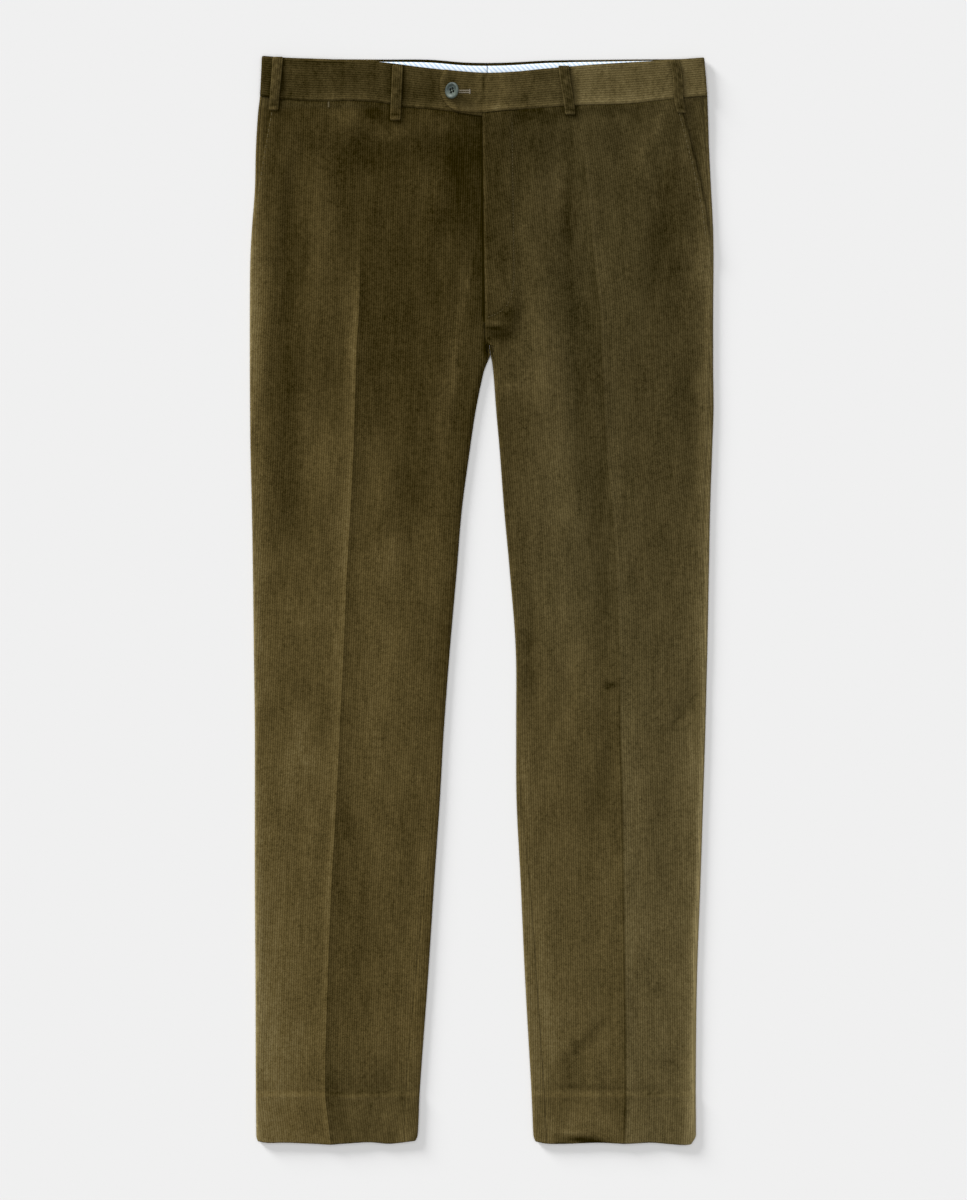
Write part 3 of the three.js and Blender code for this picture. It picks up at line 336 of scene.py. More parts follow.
def smooth(start, end, value):
    """A smooth step from 0 at start to 1 at end."""
    t = np.clip((value - start) / (end - start), 0, 1)
    return t * t * (3 - 2 * t)


def mix(a, b, t):
    return a + (b - a) * t


def bell(distance, reach):
    """A soft bump of height 1 that fades out past its reach."""
    return np.exp(-(distance / reach) ** 2)


def curve(rows, by, key, at):
    """A smooth curve through one column of a table, held level past its ends."""
    xs = rows[by]
    ys = rows[key]
    if xs[0] > xs[-1]:
        xs = xs[::-1]
        ys = ys[::-1]
    last = len(xs) - 1
    before = np.maximum(np.arange(last + 1) - 1, 0)
    after = np.minimum(np.arange(last + 1) + 1, last)
    slopes = (ys[after] - ys[before]) / (xs[after] - xs[before])
    at = np.clip(at, xs[0], xs[-1])
    i = np.clip(np.searchsorted(xs, at, side="right") - 1, 0, last - 1)
    width = xs[i + 1] - xs[i]
    t = (at - xs[i]) / width
    rise = ys[i + 1] - ys[i]
    start = slopes[i] * width
    end = slopes[i + 1] * width
    return ys[i] + t * (start + t * (3 * rise - 2 * start - end + t * (start + end - 2 * rise)))


def straight(rows, by, key, at):
    """Straight interpolation through a table, for edges with corners."""
    order = np.argsort(rows[by])
    return np.interp(at, rows[by][order], rows[key][order])


class Leg:
    def __init__(self, name, side, rows, pocket, waist, hem, tone):
        self.name = name
        self.side = side
        self.rows = rows
        self.pocket = pocket
        self.waist = waist
        self.hem = hem
        self.tone = tone


LEGS = {
    "right": Leg("right", -1, RIGHT_LEG, RIGHT_POCKET, RIGHT_WAIST, RIGHT_HEM, RIGHT_TONE),
    "left": Leg("left", 1, LEFT_LEG, LEFT_POCKET, LEFT_WAIST, LEFT_HEM, LEFT_TONE),
}


# Heights of the layers

def panel_wall(y):
    return mix(HEM_WALL, CLOTH_WALL, smooth(HEM_TOP - HEM_STEP, HEM_TOP + HEM_STEP, y))


def back_rise(y):
    return BACK_LOOP_RISE * smooth(BACK_RISE_FOOT, BACK_RISE_TOP, y)


def marks_at(rows, key, x, y):
    """The sum of a table of soft marks at each point."""
    total = np.zeros(np.broadcast(x, y).shape)
    for k in range(len(rows["x"])):
        lean = math.radians(rows["lean"][k])
        dx = x - rows["x"][k]
        dy = y - rows["y"][k]
        along = dy * math.cos(lean) + dx * math.sin(lean)
        across = dx * math.cos(lean) - dy * math.sin(lean)
        reach = (along / rows["along"][k]) ** 2 + (across / rows["across"][k]) ** 2
        total += rows[key][k] * np.exp(-reach)
    return total


def by_side(x, right, left):
    return np.where(x < 0, right, left)


def crease_line(x, y):
    """Where the pressed crease of the leg at x lies."""
    right = curve(RIGHT_LEG, "y", "crease", y)
    left = curve(LEFT_LEG, "y", "crease", y)
    return by_side(x, right, left)


def crease_fade(x, y):
    right = 1 - smooth(*CREASE_FADE["right"], y)
    left = 1 - smooth(*CREASE_FADE["left"], y)
    return by_side(x, right, left)


def crease_at(x, y):
    distance = np.abs(x - crease_line(x, y))
    return CREASE_RISE * crease_fade(x, y) * np.exp(-distance / CREASE_WIDTH)


def front_under(x, y):
    base = mix(HEM_AIR, LEG_AIR, smooth(HEM_SLOPE_FOOT, HEM_SLOPE_TOP, y))
    folds = marks_at(FRONT_FOLDS, "rise", x, y)
    air = np.clip(base + crease_at(x, y) + folds, LEAST_AIR, MOST_AIR)
    return back_rise(y) + panel_wall(y) + air + WAIST_AIR * smooth(BEND_FOOT, PANEL_TOP, y)


POCKET_STEP = CLOTH_WALL + LAYER_GAP


def facing_drop(y):
    return POCKET_STEP * smooth(BEND_FOOT, BACK_RISE_TOP, y)


def pocket_lift(leg, x, y):
    inside = (curve(leg.pocket, "y", "x", y) - x) * leg.side
    reach = 1 - smooth(POCKET_LIFT_NEAR, POCKET_LIFT_FAR, inside)
    return (POCKET_STEP - facing_drop(y)) * reach * smooth(POCKET_LIFT_END, POCKET_FOOT, y)


def fly_lift(x, y):
    inside = x - curve(FLY_EDGE, "y", "x", y)
    reach = 1 - smooth(FLY_LIFT_NEAR, FLY_LIFT_FAR, inside)
    return POCKET_STEP * reach * smooth(FLY_LIFT_END, FLY_FOOT, y)


# Outlines of the panels

def outer_edge(leg, y):
    return curve(leg.rows, "y", "outer", y)


def inner_turn(y):
    """How far the back panel's inner edge has turned up and over at the crotch."""
    up = (CROTCH_TOP - y) / (CROTCH_TOP - CROTCH_MIDDLE)
    over = (CROTCH_MIDDLE - y) / (CROTCH_MIDDLE - CROTCH_FOOT)
    return (math.pi / 2) * (np.clip(up, 0, 1) + np.clip(over, 0, 1))


def seam_level(leg, x, y):
    beside_pocket = (y >= POCKET_FOOT - 1) & (x * leg.side > POCKET_ZONE_X)
    drop = np.where(beside_pocket, facing_drop(y), 0)
    return front_under(x, y) - drop + panel_wall(y) / 2


def roll_radius(leg, x, y):
    return (seam_level(leg, x, y) - back_rise(y) - panel_wall(y) / 2) / 2


def seam_inset(leg, key, edge, y):
    least = roll_radius(leg, edge, y) + panel_wall(y) / 2 + LEAST_LIP
    return np.maximum(curve(leg.rows, "y", key, y), least)


def outer_seam(leg, y):
    edge = outer_edge(leg, y)
    return edge - leg.side * seam_inset(leg, "outer_inset", edge, y)


def front_outer_edge(leg, y):
    seam = outer_seam(leg, y) - leg.side * STITCHED_GAP
    pocket = curve(leg.pocket, "y", "x", y)
    slanted = leg.side * np.minimum(seam * leg.side, pocket * leg.side)
    return np.where(y < POCKET_FOOT - 1, seam, slanted)


def leg_inner_edge(leg, y):
    return curve(leg.rows, "y", "inner", y)


def front_inner_edge(leg, y):
    free = UNDERLAP_EDGE if leg.side < 0 else FLY_EDGE
    above = straight(free, "y", "x", y) + leg.side * SEAM_GAP / 2
    edge = leg_inner_edge(leg, y) + leg.side * SEAM_GAP / 2
    seam = seam_inset(leg, "inner_inset", edge, y) + STITCHED_GAP
    inset = np.where(y >= CROTCH_MIDDLE - 1, CROTCH_INSET, seam)
    return np.where(y >= CROTCH_TOP - 1, above, edge + leg.side * inset)


def bent(y, x, top):
    """Rows bend near the top so that the last one follows the waist seam."""
    weight = np.maximum(0, (y - BEND_FOOT) / (PANEL_TOP - BEND_FOOT))
    return y + weight * (top - STITCHED_GAP - PANEL_TOP)


def waved(leg, x, y):
    """Rows wave near the foot so that the last one follows the hem's lower edge."""
    return y + smooth(HEM_WAVE_TOP, HEM_FOOT, y) * (curve(leg.hem, "x", "y", x) - HEM_FOOT)


def waist_seam(leg, x):
    return curve(leg.waist, "x", "y", x)


def back_seam(x):
    return BACK_SEAM_MIDDLE + BACK_SEAM_SIDE_RISE * (x / WAIST_HALF_WIDTH) ** 2


# Fine relief of the cloth, which the plain solids leave out

RIPPLE_SEED = 21
RIPPLE_COUNT = 16
ripple_random = np.random.default_rng(RIPPLE_SEED)
RIPPLES = {
    "width": ripple_random.uniform(26, 80, RIPPLE_COUNT),
    "length": ripple_random.uniform(110, 420, RIPPLE_COUNT),
    "lean": ripple_random.choice([-1, 1], RIPPLE_COUNT),
    "phase": ripple_random.uniform(0, 2 * math.pi, RIPPLE_COUNT),
    "rise": ripple_random.uniform(0.05, 0.13, RIPPLE_COUNT),
}


def ripples(x, y):
    """Gentle unevenness of cloth that has been worn and smoothed out by hand."""
    total = np.zeros(np.broadcast(x, y).shape)
    for width, length, lean, phase, rise in zip(*RIPPLES.values()):
        total += rise * np.sin(2 * math.pi * (x / width + lean * y / length) + phase)
    return total


WARP_SEED = 5
WARP_COUNT = 7
warp_random = np.random.default_rng(WARP_SEED)
WARPS = {
    "width": warp_random.uniform(14, 60, WARP_COUNT),
    "length": warp_random.uniform(16, 70, WARP_COUNT),
    "lean": warp_random.choice([-1, 1], WARP_COUNT),
    "phase": warp_random.uniform(0, 2 * math.pi, WARP_COUNT),
}
WARP_ACROSS = 0.018
WARP_ALONG = 0.03


def ragged(x, y):
    """Places moved a little, so that the patches of the pile get uneven edges."""
    dx = np.zeros(np.broadcast(x, y).shape)
    dy = np.zeros(np.broadcast(x, y).shape)
    for width, length, lean, phase in zip(*WARPS.values()):
        angle = 2 * math.pi * (x / width + lean * y / length) + phase
        dx += WARP_ACROSS * width * np.sin(angle)
        dy += WARP_ALONG * width * np.cos(1.3 * angle)
    return x + dx, y + dy


def relief(x, y):
    """How far the cloth stands off its solid's form, less over the fly and near the waist seam."""
    beside_fly = np.maximum(smooth(20, 50, np.abs(x - BACK_SEAM_X)), smooth(250, 235, y))
    below_waist = 1 - smooth(474, 492, y)
    amount = (0.3 + 0.7 * beside_fly) * below_waist
    marks = MARK_RISE * marks_at(MARKS, "tone", *ragged(x, y)) + marks_at(SMALL_MARKS, "rise", x, y)
    return amount * (ripples(x, y) + marks)


def path_distance(points, x, y):
    """The distance from each point to a line through some points."""
    best = np.full(np.broadcast(x, y).shape, np.inf)
    for (x0, y0), (x1, y1) in zip(points[:-1], points[1:]):
        dx = x1 - x0
        dy = y1 - y0
        t = np.clip(((x - x0) * dx + (y - y0) * dy) / (dx * dx + dy * dy), 0, 1)
        best = np.minimum(best, np.hypot(x - x0 - t * dx, y - y0 - t * dy))
    return best


FLY_STITCH = [(30, 478), (32, 323), (31, 311), (29, 302), (25.5, 295), (20, 289), (13, 285), (5, 282)]
EDGE_ROUND = 0.8
SEAM_RIDGE = 3.2


def edge_form(distance, round_off, ridge):
    """The rounded edge of a seamed panel and the soft ridge of its seam allowance."""
    return ridge * bell(distance - SEAM_RIDGE, 2.2) - round_off * bell(distance, EDGE_ROUND)


def hem_line(x, y):
    """The height above the hem's hidden stitches, which waver."""
    return y - HEM_TOP - 1 - 1.6 * pucker(0.4 * x)


def front_detail(leg, x, y):
    """What stitching and seams do to the face of a front panel."""
    outer = np.abs(front_outer_edge(leg, y) - x)
    inner = np.abs(front_inner_edge(leg, y) - x)
    waist = np.abs(waist_seam(leg, x) - y)
    side_round = np.where(y > POCKET_FOOT, 0.4, 0.12)
    inner_round = np.where(y > CROTCH_TOP, 0.3, 0.12)
    detail = edge_form(outer, side_round, 0.2) + edge_form(inner, inner_round, 0.1)
    detail += edge_form(waist, 0.4, 0.2)
    detail -= 0.12 * (1 + pucker(x)) * bell(hem_line(x, y), 1.6)
    if leg.side > 0:
        detail -= 0.38 * bell(path_distance(FLY_STITCH, x, y), 1.3)
    return detail


def front_heights(leg, x, y):
    """The underside and the face of a front panel."""
    outer = np.abs(front_outer_edge(leg, y) - x)
    inner = np.abs(front_inner_edge(leg, y) - x)
    fade = smooth(0, 9, outer) * smooth(0, 9, inner)
    lift = pocket_lift(leg, x, y)
    if leg.side > 0:
        lift = lift + fly_lift(x, y)
    floor = back_rise(y) + panel_wall(y) + 0.25
    under = np.maximum(front_under(x, y) + lift + fade * relief(x, y), floor)
    return under, under + panel_wall(y) + front_detail(leg, x, y)


# How light the cloth looks: the pile's own tone, with painted light and shade

def leg_tone(leg, x, y):
    edge = outer_edge(leg, y)
    crease = curve(leg.rows, "y", "crease", y)
    inner = leg_inner_edge(leg, y)
    middle = curve(leg.tone, "y", "middle", y)
    out_share = np.clip((x - crease) / (edge - crease), 0, 1)
    in_share = np.clip((x - crease) / (inner - crease), 0, 1)
    to_outer = mix(middle, curve(leg.tone, "y", "outer", y), out_share)
    to_inner = mix(middle, curve(leg.tone, "y", "inner", y), in_share)
    return np.where((x - crease) * leg.side > 0, to_outer, to_inner)


# Painted highlight where the cloth turns down along the legs' outer sides, standing in for the
# light it catches there: a narrow bright rim and a broad glow beside it
RIGHT_RIM = table(
    "y narrow broad",
    (485, 0, 0.1), (430, 0.1, 0.5), (320, 0.8, 0.9), (230, 0.5, 0.85), (150, 0.2, 0.7),
    (60, 0.4, 0.6), (-50, 0.8, 0.9), (-130, 0.8, 0.7), (-250, 1.1, 0.65), (-400, 1.1, 1.15),
    (-500, 0.6, 0.9), (-544, 0.7, 0.8),
)
LEFT_RIM = table(
    "y narrow broad",
    (490, 0, 0.1), (450, 0.1, 0.5), (340, 0.4, 0.8), (270, 0.3, 0.6), (200, 0.2, 0.4),
    (100, 0.4, 0.5), (0, 1.0, 0.4), (-100, 1.3, 0.4), (-250, 1.9, 0.85), (-400, 2.4, 0.8),
    (-480, 2.2, 0.9), (-544, 1.4, 0.9),
)
NARROW_RIM = 2.5
LEFT_RIM_INSET = 2.0
BROAD_RIM = 9


def rim_light_and_shade(x, y):
    """Painted highlight where the cloth turns down along the sides, painted glows beside the legs'
    inner edges low down, and painted shade along most of the right leg's inner edge.
    """
    outer = by_side(x, x - outer_edge(LEGS["right"], y), outer_edge(LEGS["left"], y) - x)
    narrow = by_side(x, curve(RIGHT_RIM, "y", "narrow", y), curve(LEFT_RIM, "y", "narrow", y))
    broad = by_side(x, curve(RIGHT_RIM, "y", "broad", y), curve(LEFT_RIM, "y", "broad", y))
    inset = LEFT_RIM_INSET * (x > 0)
    rim = narrow * bell(outer - inset, NARROW_RIM) + broad * np.exp(-np.abs(outer) / BROAD_RIM)
    left_inner = np.abs(x - leg_inner_edge(LEGS["left"], y))
    right_inner = np.abs(x - leg_inner_edge(LEGS["right"], y))
    rim += 0.42 * np.exp(-left_inner / 12) * (1 - smooth(-320, -160, y)) * (x > 0)
    rim += 0.20 * bell(right_inner - 14, 9) * (1 - smooth(-380, -280, y)) * (x < 0)
    rim -= 0.26 * bell(right_inner, 5) * smooth(-460, -300, y) * (x < 9) * (y < 262)
    return rim


def crease_light_and_shade(x, y):
    """Painted light on one side of each pressed crease, painted shade on the other, and a fine
    painted line along the crease.
    """
    offset = x - crease_line(x, y)
    before = np.minimum(offset, 0)
    after = np.maximum(offset, 0)
    turn = smooth(-0.6, 0.6, offset)
    right = mix(0.30 * np.exp(before / 12), -0.16 * np.exp(-after / 14), turn)
    right = right + 0.22 * bell(offset + 2.6, 2) * (1 - 0.8 * bell(y + 100, 80))
    sharp = smooth(-60, -140, y)
    left = mix(-0.24 * np.exp(before / 13), mix(0.12, 0.40, sharp) * np.exp(-after / 12), turn)
    left = left + mix(0.2 * bell(offset - 0.8, 1.3), -0.46 * bell(offset + 0.6, 0.9), sharp)
    return crease_fade(x, y) * by_side(x, right, left)


# The cloth's tone: each leg's gradient, painted light and shade at the creases and along the edges,
# and the marks' brushed pile with painted highlight and shade on small folds
def tone_at(x, y):
    leg = by_side(x, leg_tone(LEGS["right"], x, y), leg_tone(LEGS["left"], x, y))
    middle = (leg_tone(LEGS["right"], x, y) + leg_tone(LEGS["left"], x, y)) / 2
    near_middle = bell(x - BACK_SEAM_X, 14) * smooth(230, 260, y)
    marks = marks_at(MARKS, "tone", *ragged(x, y))
    return mix(leg, middle, near_middle) + crease_light_and_shade(x, y) + rim_light_and_shade(x, y) + marks


def front_tone(leg, x, y):
    outer = np.abs(front_outer_edge(leg, y) - x)
    inner = np.abs(front_inner_edge(leg, y) - x)
    # Painted highlight on the seam allowance's ridge beside the panel's edge, and a darker line on
    # the edge itself, most along the pocket opening
    seam_highlight = np.where(y > POCKET_FOOT, 0.02, 0.10)
    tone = tone_at(x, y) + seam_highlight * bell(outer - 3, 2)
    tone -= np.where(y > POCKET_FOOT, 0.34, 0.06) * bell(outer, 0.9)
    # Painted shade in the dimple of the hidden hem stitches, along the hem's lower edge and below the
    # waist seam, the small creases' painted highlight and shade, and painted shade beside the belt
    # loops
    tone -= np.maximum(0.05 + 0.16 * pucker(x), 0) * bell(hem_line(x, y), 1.6)
    tone -= 0.3 * bell(y - curve(leg.hem, "x", "y", x), 0.9)
    tone -= 0.3 * bell(waist_seam(leg, x) - y, 1.5) * (1 + 0.6 * pucker(x))
    tone += marks_at(SMALL_MARKS, "tone", x, y) - loop_shade(x, y)
    fly = straight(FLY_EDGE, "y", "x", y)
    on_fly = smooth(272, 284, y)
    below_fly = 1 - on_fly
    tone -= 0.04 * bell(inner, 0.9) * below_fly
    if leg.side > 0:
        # Painted highlight and painted shade beside the fly's stitch line, and a painted highlight on
        # the fly's folded edge
        stitch = path_distance(FLY_STITCH, x, y)
        tone += 0.05 * bell(stitch - 3, 2) - 0.06 * bell(stitch, 1.1)
        tone += 0.22 * bell(inner - 1.4, 1.0) * on_fly
    else:
        # Painted shadow on the right front beside the fly's overlapping edge, deeper lower down
        depth = mix(0.25, 0.75, smooth(440, 340, y))
        tone -= (depth * bell(fly - x, 1.9) + 0.14 * bell(fly - x, 11)) * on_fly
    return tone


def cool_at(x, y):
    """How cool the pile looks: more to the wearer's left, most beyond the left leg's crease."""
    upper = np.maximum(smooth(-60, 100, x), 0.5 * smooth(488, 494, y))
    beyond = smooth(-1, 1, x - curve(LEFT_LEG, "y", "crease", y))
    lower = 0.45 + 0.75 * beyond
    low_hem = 0.4 * smooth(-420, -500, y) * (x < 0) * (x > curve(RIGHT_LEG, "y", "crease", y))
    return mix(np.where(x > 0, lower, low_hem), upper, smooth(-150, 50, y))


# Mesh building

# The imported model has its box's middle at the origin. The centre back loop gives the shift.
loop_low, loop_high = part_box("belt_loop_back_centre")
BACK_LOOP_FOOT = 12
SHIFT = np.array([
    (loop_low.x + loop_high.x) / (2 * MM) - BACK_SEAM_X,
    loop_low.y / MM - (back_seam(BACK_SEAM_X) - BACK_LOOP_FOOT),
    0,
])


def in_frame(x, y, z):
    """A point of the tables as a place in the shared frame, in metres."""
    return tuple((np.array([x, y, z]) + SHIFT) * MM)


def mesh_object(name, points, faces, paint=None):
    mesh = bpy.data.meshes.new(name)
    corners = [tuple(map(int, face)) for face in faces]
    mesh.from_pydata(((np.asarray(points) + SHIFT) * MM).tolist(), [], corners)
    mesh.polygons.foreach_set("use_smooth", [True] * len(mesh.polygons))
    for key, values in (paint or {}).items():
        layer = mesh.attributes.new(key, "FLOAT", "POINT")
        layer.data.foreach_set("value", np.asarray(values, np.float32).ravel())
    mesh.validate()
    mesh.update()
    piece = bpy.data.objects.new(name, mesh)
    bpy.context.scene.collection.objects.link(piece)
    return piece


def grid_faces(index):
    corners = [index[:-1, :-1], index[1:, :-1], index[1:, 1:], index[:-1, 1:]]
    return np.stack(corners, -1).reshape(-1, 4)


def border_faces(a, b):
    return np.stack([a[:-1], a[1:], b[1:], b[:-1]], -1)


def wall_object(name, outer, inner, **paint):
    """A closed wall between an outer and an inner grid. Rows run down the garment."""
    rows, columns = outer.shape[:2]
    face = np.arange(rows * columns).reshape(rows, columns)
    lining = face + rows * columns
    faces = np.concatenate([
        grid_faces(face),
        grid_faces(lining)[:, ::-1],
        border_faces(lining[:, 0], face[:, 0]),
        border_faces(face[:, -1], lining[:, -1]),
        border_faces(face[0], lining[0]),
        border_faces(lining[-1], face[-1]),
    ])
    points = np.concatenate([outer.reshape(-1, 3), inner.reshape(-1, 3)])
    paint["cool"] = cool_at(outer[..., 0], outer[..., 1])
    doubled = {key: np.tile(np.asarray(value).ravel(), 2) for key, value in paint.items()}
    return mesh_object(name, points, faces, doubled)


def layer_object(name, x, y, under, face, **paint):
    """A wall that lies flat, from grids of its places, underside heights and face heights."""
    outer = np.stack([x, y, face], -1)
    inner = np.stack([x, y, under], -1)
    return wall_object(name, outer, inner, **paint)


def levels(*bands):
    """Heights from the top down, in bands of a start, an end and a step."""
    parts = [np.arange(start, end, -step) for start, end, step in bands]
    return np.append(np.concatenate(parts), bands[-1][1])


def between(start, end, count):
    """Points strictly between two, evenly spaced."""
    return mix(start, end, np.arange(1, count + 1) / (count + 1))


# Front panels

EDGE_STEPS = np.array([
    0, 0.5, 1, 1.6, 2.3, 3.1, 4, 5, 6.2, 7.6, 9.2, 11, 13, 15.2, 17.6, 19, 20.2, 21.4, 22.6,
    23.8, 25, 26.2, 27.4, 28.6, 29.8, 31, 32.4, 35, 38,
])
CREASE_STEPS = np.array([0.6, 1.3, 2.2, 3.3, 4.7, 6.4, 8.5])
OUTER_FILL = 13
INNER_FILL = 24
FRONT_LEVELS = levels(
    (486, 470, 1.3), (470, 290, 3.2), (290, 236, 1.5), (236, -484, 3.6), (-484, -500, 0.8),
    (-500, -530, 2.5), (-530, -544, 1),
)


def front_columns(leg, outer, crease, inner):
    from_outer = outer - leg.side * EDGE_STEPS
    from_inner = (inner + leg.side * EDGE_STEPS)[::-1]
    offsets = np.concatenate([CREASE_STEPS[::-1], [0], -CREASE_STEPS])
    at_crease = crease + leg.side * offsets
    columns = np.concatenate([
        from_outer,
        between(from_outer[-1], at_crease[0], OUTER_FILL),
        at_crease,
        between(at_crease[-1], from_inner[0], INNER_FILL),
        from_inner,
    ])
    return columns if leg.side < 0 else columns[::-1]


def front_panel(leg):
    xs = []
    ys = []
    for level in FRONT_LEVELS:
        guess = front_outer_edge(leg, level)
        outer = front_outer_edge(leg, bent(level, guess, waist_seam(leg, guess)))
        inner = front_inner_edge(leg, level)
        x = front_columns(leg, outer, curve(leg.rows, "y", "crease", level), inner)
        xs.append(x)
        ys.append(bent(level, x, waist_seam(leg, x)))
    x = np.array(xs)
    y = waved(leg, x, np.array(ys))
    under, face = front_heights(leg, x, y)
    wale = x - curve(leg.rows, "y", "crease", y)
    tone = front_tone(leg, x, y)
    return layer_object(f"cloth_front_{leg.name}", x, y, under, face, wale=wale, tone=tone)


# Back panels, which lie flat below and roll up and over at the side seams and inseams

ROLL_STEPS = 12
LIP_STEPS = 6
FLOOR_STEPS = 34
BACK_LEVELS = levels(
    (486, 430, 4), (430, 290, 6), (290, 262, 3), (262, 236, 1), (236, -484, 7), (-484, -500, 1),
    (-500, -530, 4), (-530, -544, 1.4),
)


def roll_line(radius, turn, lip, wall):
    """The centre line of an edge that turns up and over: outwards, up and angle turned."""
    length = math.pi * radius
    share = np.linspace(0, 1, ROLL_STEPS + 1)
    angle = turn * share
    if turn < TINY_ANGLE:
        u = length * share
        z = np.zeros_like(share)
    else:
        u = length / turn * np.sin(angle)
        z = length / turn * (1 - np.cos(angle))
    along = lip * np.linspace(0, 1, LIP_STEPS + 1)[1:]
    u = np.append(u, u[-1] + along * math.cos(turn))
    z = np.append(z, z[-1] + along * math.sin(turn))
    angle = np.append(angle, np.full(LIP_STEPS, turn))
    reach = np.max(u + np.abs(np.sin(angle)) * wall / 2)
    return u - reach, z, angle


def back_section(leg, level):
    guess = outer_edge(leg, level)
    side_y = bent(level, guess, back_seam(guess))
    wall = panel_wall(level)
    outer_x = outer_edge(leg, side_y)
    inner_x = leg_inner_edge(leg, level) + leg.side * SEAM_GAP / 2
    ends = {
        "outer": (outer_x, roll_radius(leg, outer_x, side_y), math.pi,
                  seam_inset(leg, "outer_inset", outer_x, side_y)),
        "inner": (inner_x, roll_radius(leg, inner_x, level), float(inner_turn(level)),
                  seam_inset(leg, "inner_inset", inner_x, level)),
    }
    lines = {}
    for key, (edge, radius, turn, inset) in ends.items():
        folded = turn > math.pi - TINY_ANGLE
        lip = inset - radius - wall / 2 if folded else LEAST_LIP
        lines[key] = (edge, *roll_line(radius, turn, lip, wall))
    low = lines["outer"] if leg.side < 0 else lines["inner"]
    high = lines["inner"] if leg.side < 0 else lines["outer"]
    low_x = (low[0] - low[1])[::-1]
    high_x = high[0] + high[1]
    floor_x = between(low_x[-1], high_x[0], FLOOR_STEPS)
    level_part = np.zeros(FLOOR_STEPS)
    x = np.concatenate([low_x, floor_x, high_x])
    rise = np.concatenate([low[2][::-1], level_part, high[2]])
    nx = np.concatenate([-np.sin(low[3][::-1]), level_part, np.sin(high[3])])
    nz = np.concatenate([-np.cos(low[3][::-1]), level_part - 1, -np.cos(high[3])])
    y = waved(leg, x, bent(level, x, back_seam(x)))
    return x, y, rise, nx, nz, wall


# Shallow troughs of the cloth on the underside, which lies on the floor
BACK_TROUGHS = table(
    "x y along across lean rise",
    (-150, 420, 60, 9, 20, 0.5), (-60, 330, 70, 8, -30, 0.5), (70, 340, 60, 8, 34, 0.5),
    (160, 400, 70, 9, -16, 0.45), (-170, 180, 90, 10, 6, 0.5), (60, 150, 60, 9, 20, 0.5),
    (180, 120, 80, 10, -8, 0.45), (-70, -20, 60, 9, 24, 0.5), (-190, -60, 50, 8, -30, 0.5),
    (100, -40, 44, 9, 40, 0.5), (190, -90, 60, 8, -20, 0.45), (-110, -300, 90, 9, 8, 0.45),
    (90, -330, 80, 9, -10, 0.45), (-190, -430, 50, 8, 12, 0.4), (170, -440, 40, 8, -30, 0.4),
)
LIP_WALL_CLEARANCE = 0.12


def back_panel(leg):
    outers = []
    inners = []
    for level in BACK_LEVELS:
        x, y, rise, nx, nz, wall = back_section(leg, level)
        trough = marks_at(BACK_TROUGHS, "rise", x, y) * (nz < -0.99) * smooth(-534, -520, y)
        trough *= smooth(2, 14, outer_edge(leg, y) * leg.side - x * leg.side)
        centre = back_rise(y) + wall / 2 + rise
        lip = np.minimum(np.arange(len(x)), np.arange(len(x))[::-1]) / LIP_STEPS
        thin = 1 - LIP_WALL_CLEARANCE * (1 - smooth(0, 0.5, lip))
        half = wall / 2 * thin
        outers.append(np.stack([x + nx * wall / 2, y, centre + nz * half + trough], -1))
        inners.append(np.stack([x - nx * wall / 2, y, centre - nz * wall / 2], -1))
    outer = np.array(outers)
    inner = np.array(inners)
    x = outer[..., 0]
    y = outer[..., 1]
    tone = tone_at(x, y)
    edge = np.minimum(np.abs(outer_edge(leg, y) - x), np.abs(leg_inner_edge(leg, y) - x))
    crotch = (x > -1) & (x < 40) & (y > 200)
    # Painted highlight along the rolled edges, the small creases' painted light and shade at the
    # crotch, and painted shade in two stretches along the left leg's outer roll
    tone = tone + 0.10 * bell(edge, 2.5) + marks_at(SMALL_MARKS, "tone", x, y) * crotch
    edge_fold_shade = bell(y - 290, 60) + bell(y + 180, 90)
    tone = tone - 0.7 * edge_fold_shade * bell(outer_edge(leg, y) - x, 1.1) * (x > 0)
    wale = x - curve(leg.rows, "y", "crease", y)
    return wall_object(f"cloth_back_{leg.name}", outer, inner, wale=wale, tone=tone)


# Pocket facings, the cloth behind the slanted openings

FACING_REACH = 16
FACING_COLUMNS = 15


def pocket_facing(leg):
    xs = []
    ys = []
    for level in [v for v in FRONT_LEVELS if v >= POCKET_FOOT]:
        guess = outer_seam(leg, level)
        side_y = bent(level, guess, waist_seam(leg, guess))
        seam = outer_seam(leg, side_y) - leg.side * STITCHED_GAP
        inside = curve(leg.pocket, "y", "x", side_y) - leg.side * FACING_REACH
        x = mix(seam, inside, np.linspace(0, 1, FACING_COLUMNS))
        x = x[::-1] if leg.side > 0 else x
        xs.append(x)
        ys.append(bent(level, x, waist_seam(leg, x)))
    x = np.array(xs)
    y = np.array(ys)
    under = front_under(x, y) - facing_drop(y)
    seam_distance = np.abs(outer_seam(leg, y) - x)
    face = under + CLOTH_WALL + edge_form(seam_distance, 0.45, 0.12)
    pocket = curve(leg.pocket, "y", "x", y)
    # Painted shade under the pocket opening's edge, and a painted highlight on the seam's ridge
    tone = tone_at(x, y) - 0.22 * bell((x - pocket) * leg.side, 3)
    tone = tone + 0.25 * bell(seam_distance - 1.6, 1.2)
    wale = x - curve(leg.rows, "y", "crease", y)
    return layer_object(f"cloth_pocket_facing_{leg.name}", x, y, under, face, wale=wale, tone=tone)


# Waistband, one strip a side from the centre front round to the centre back

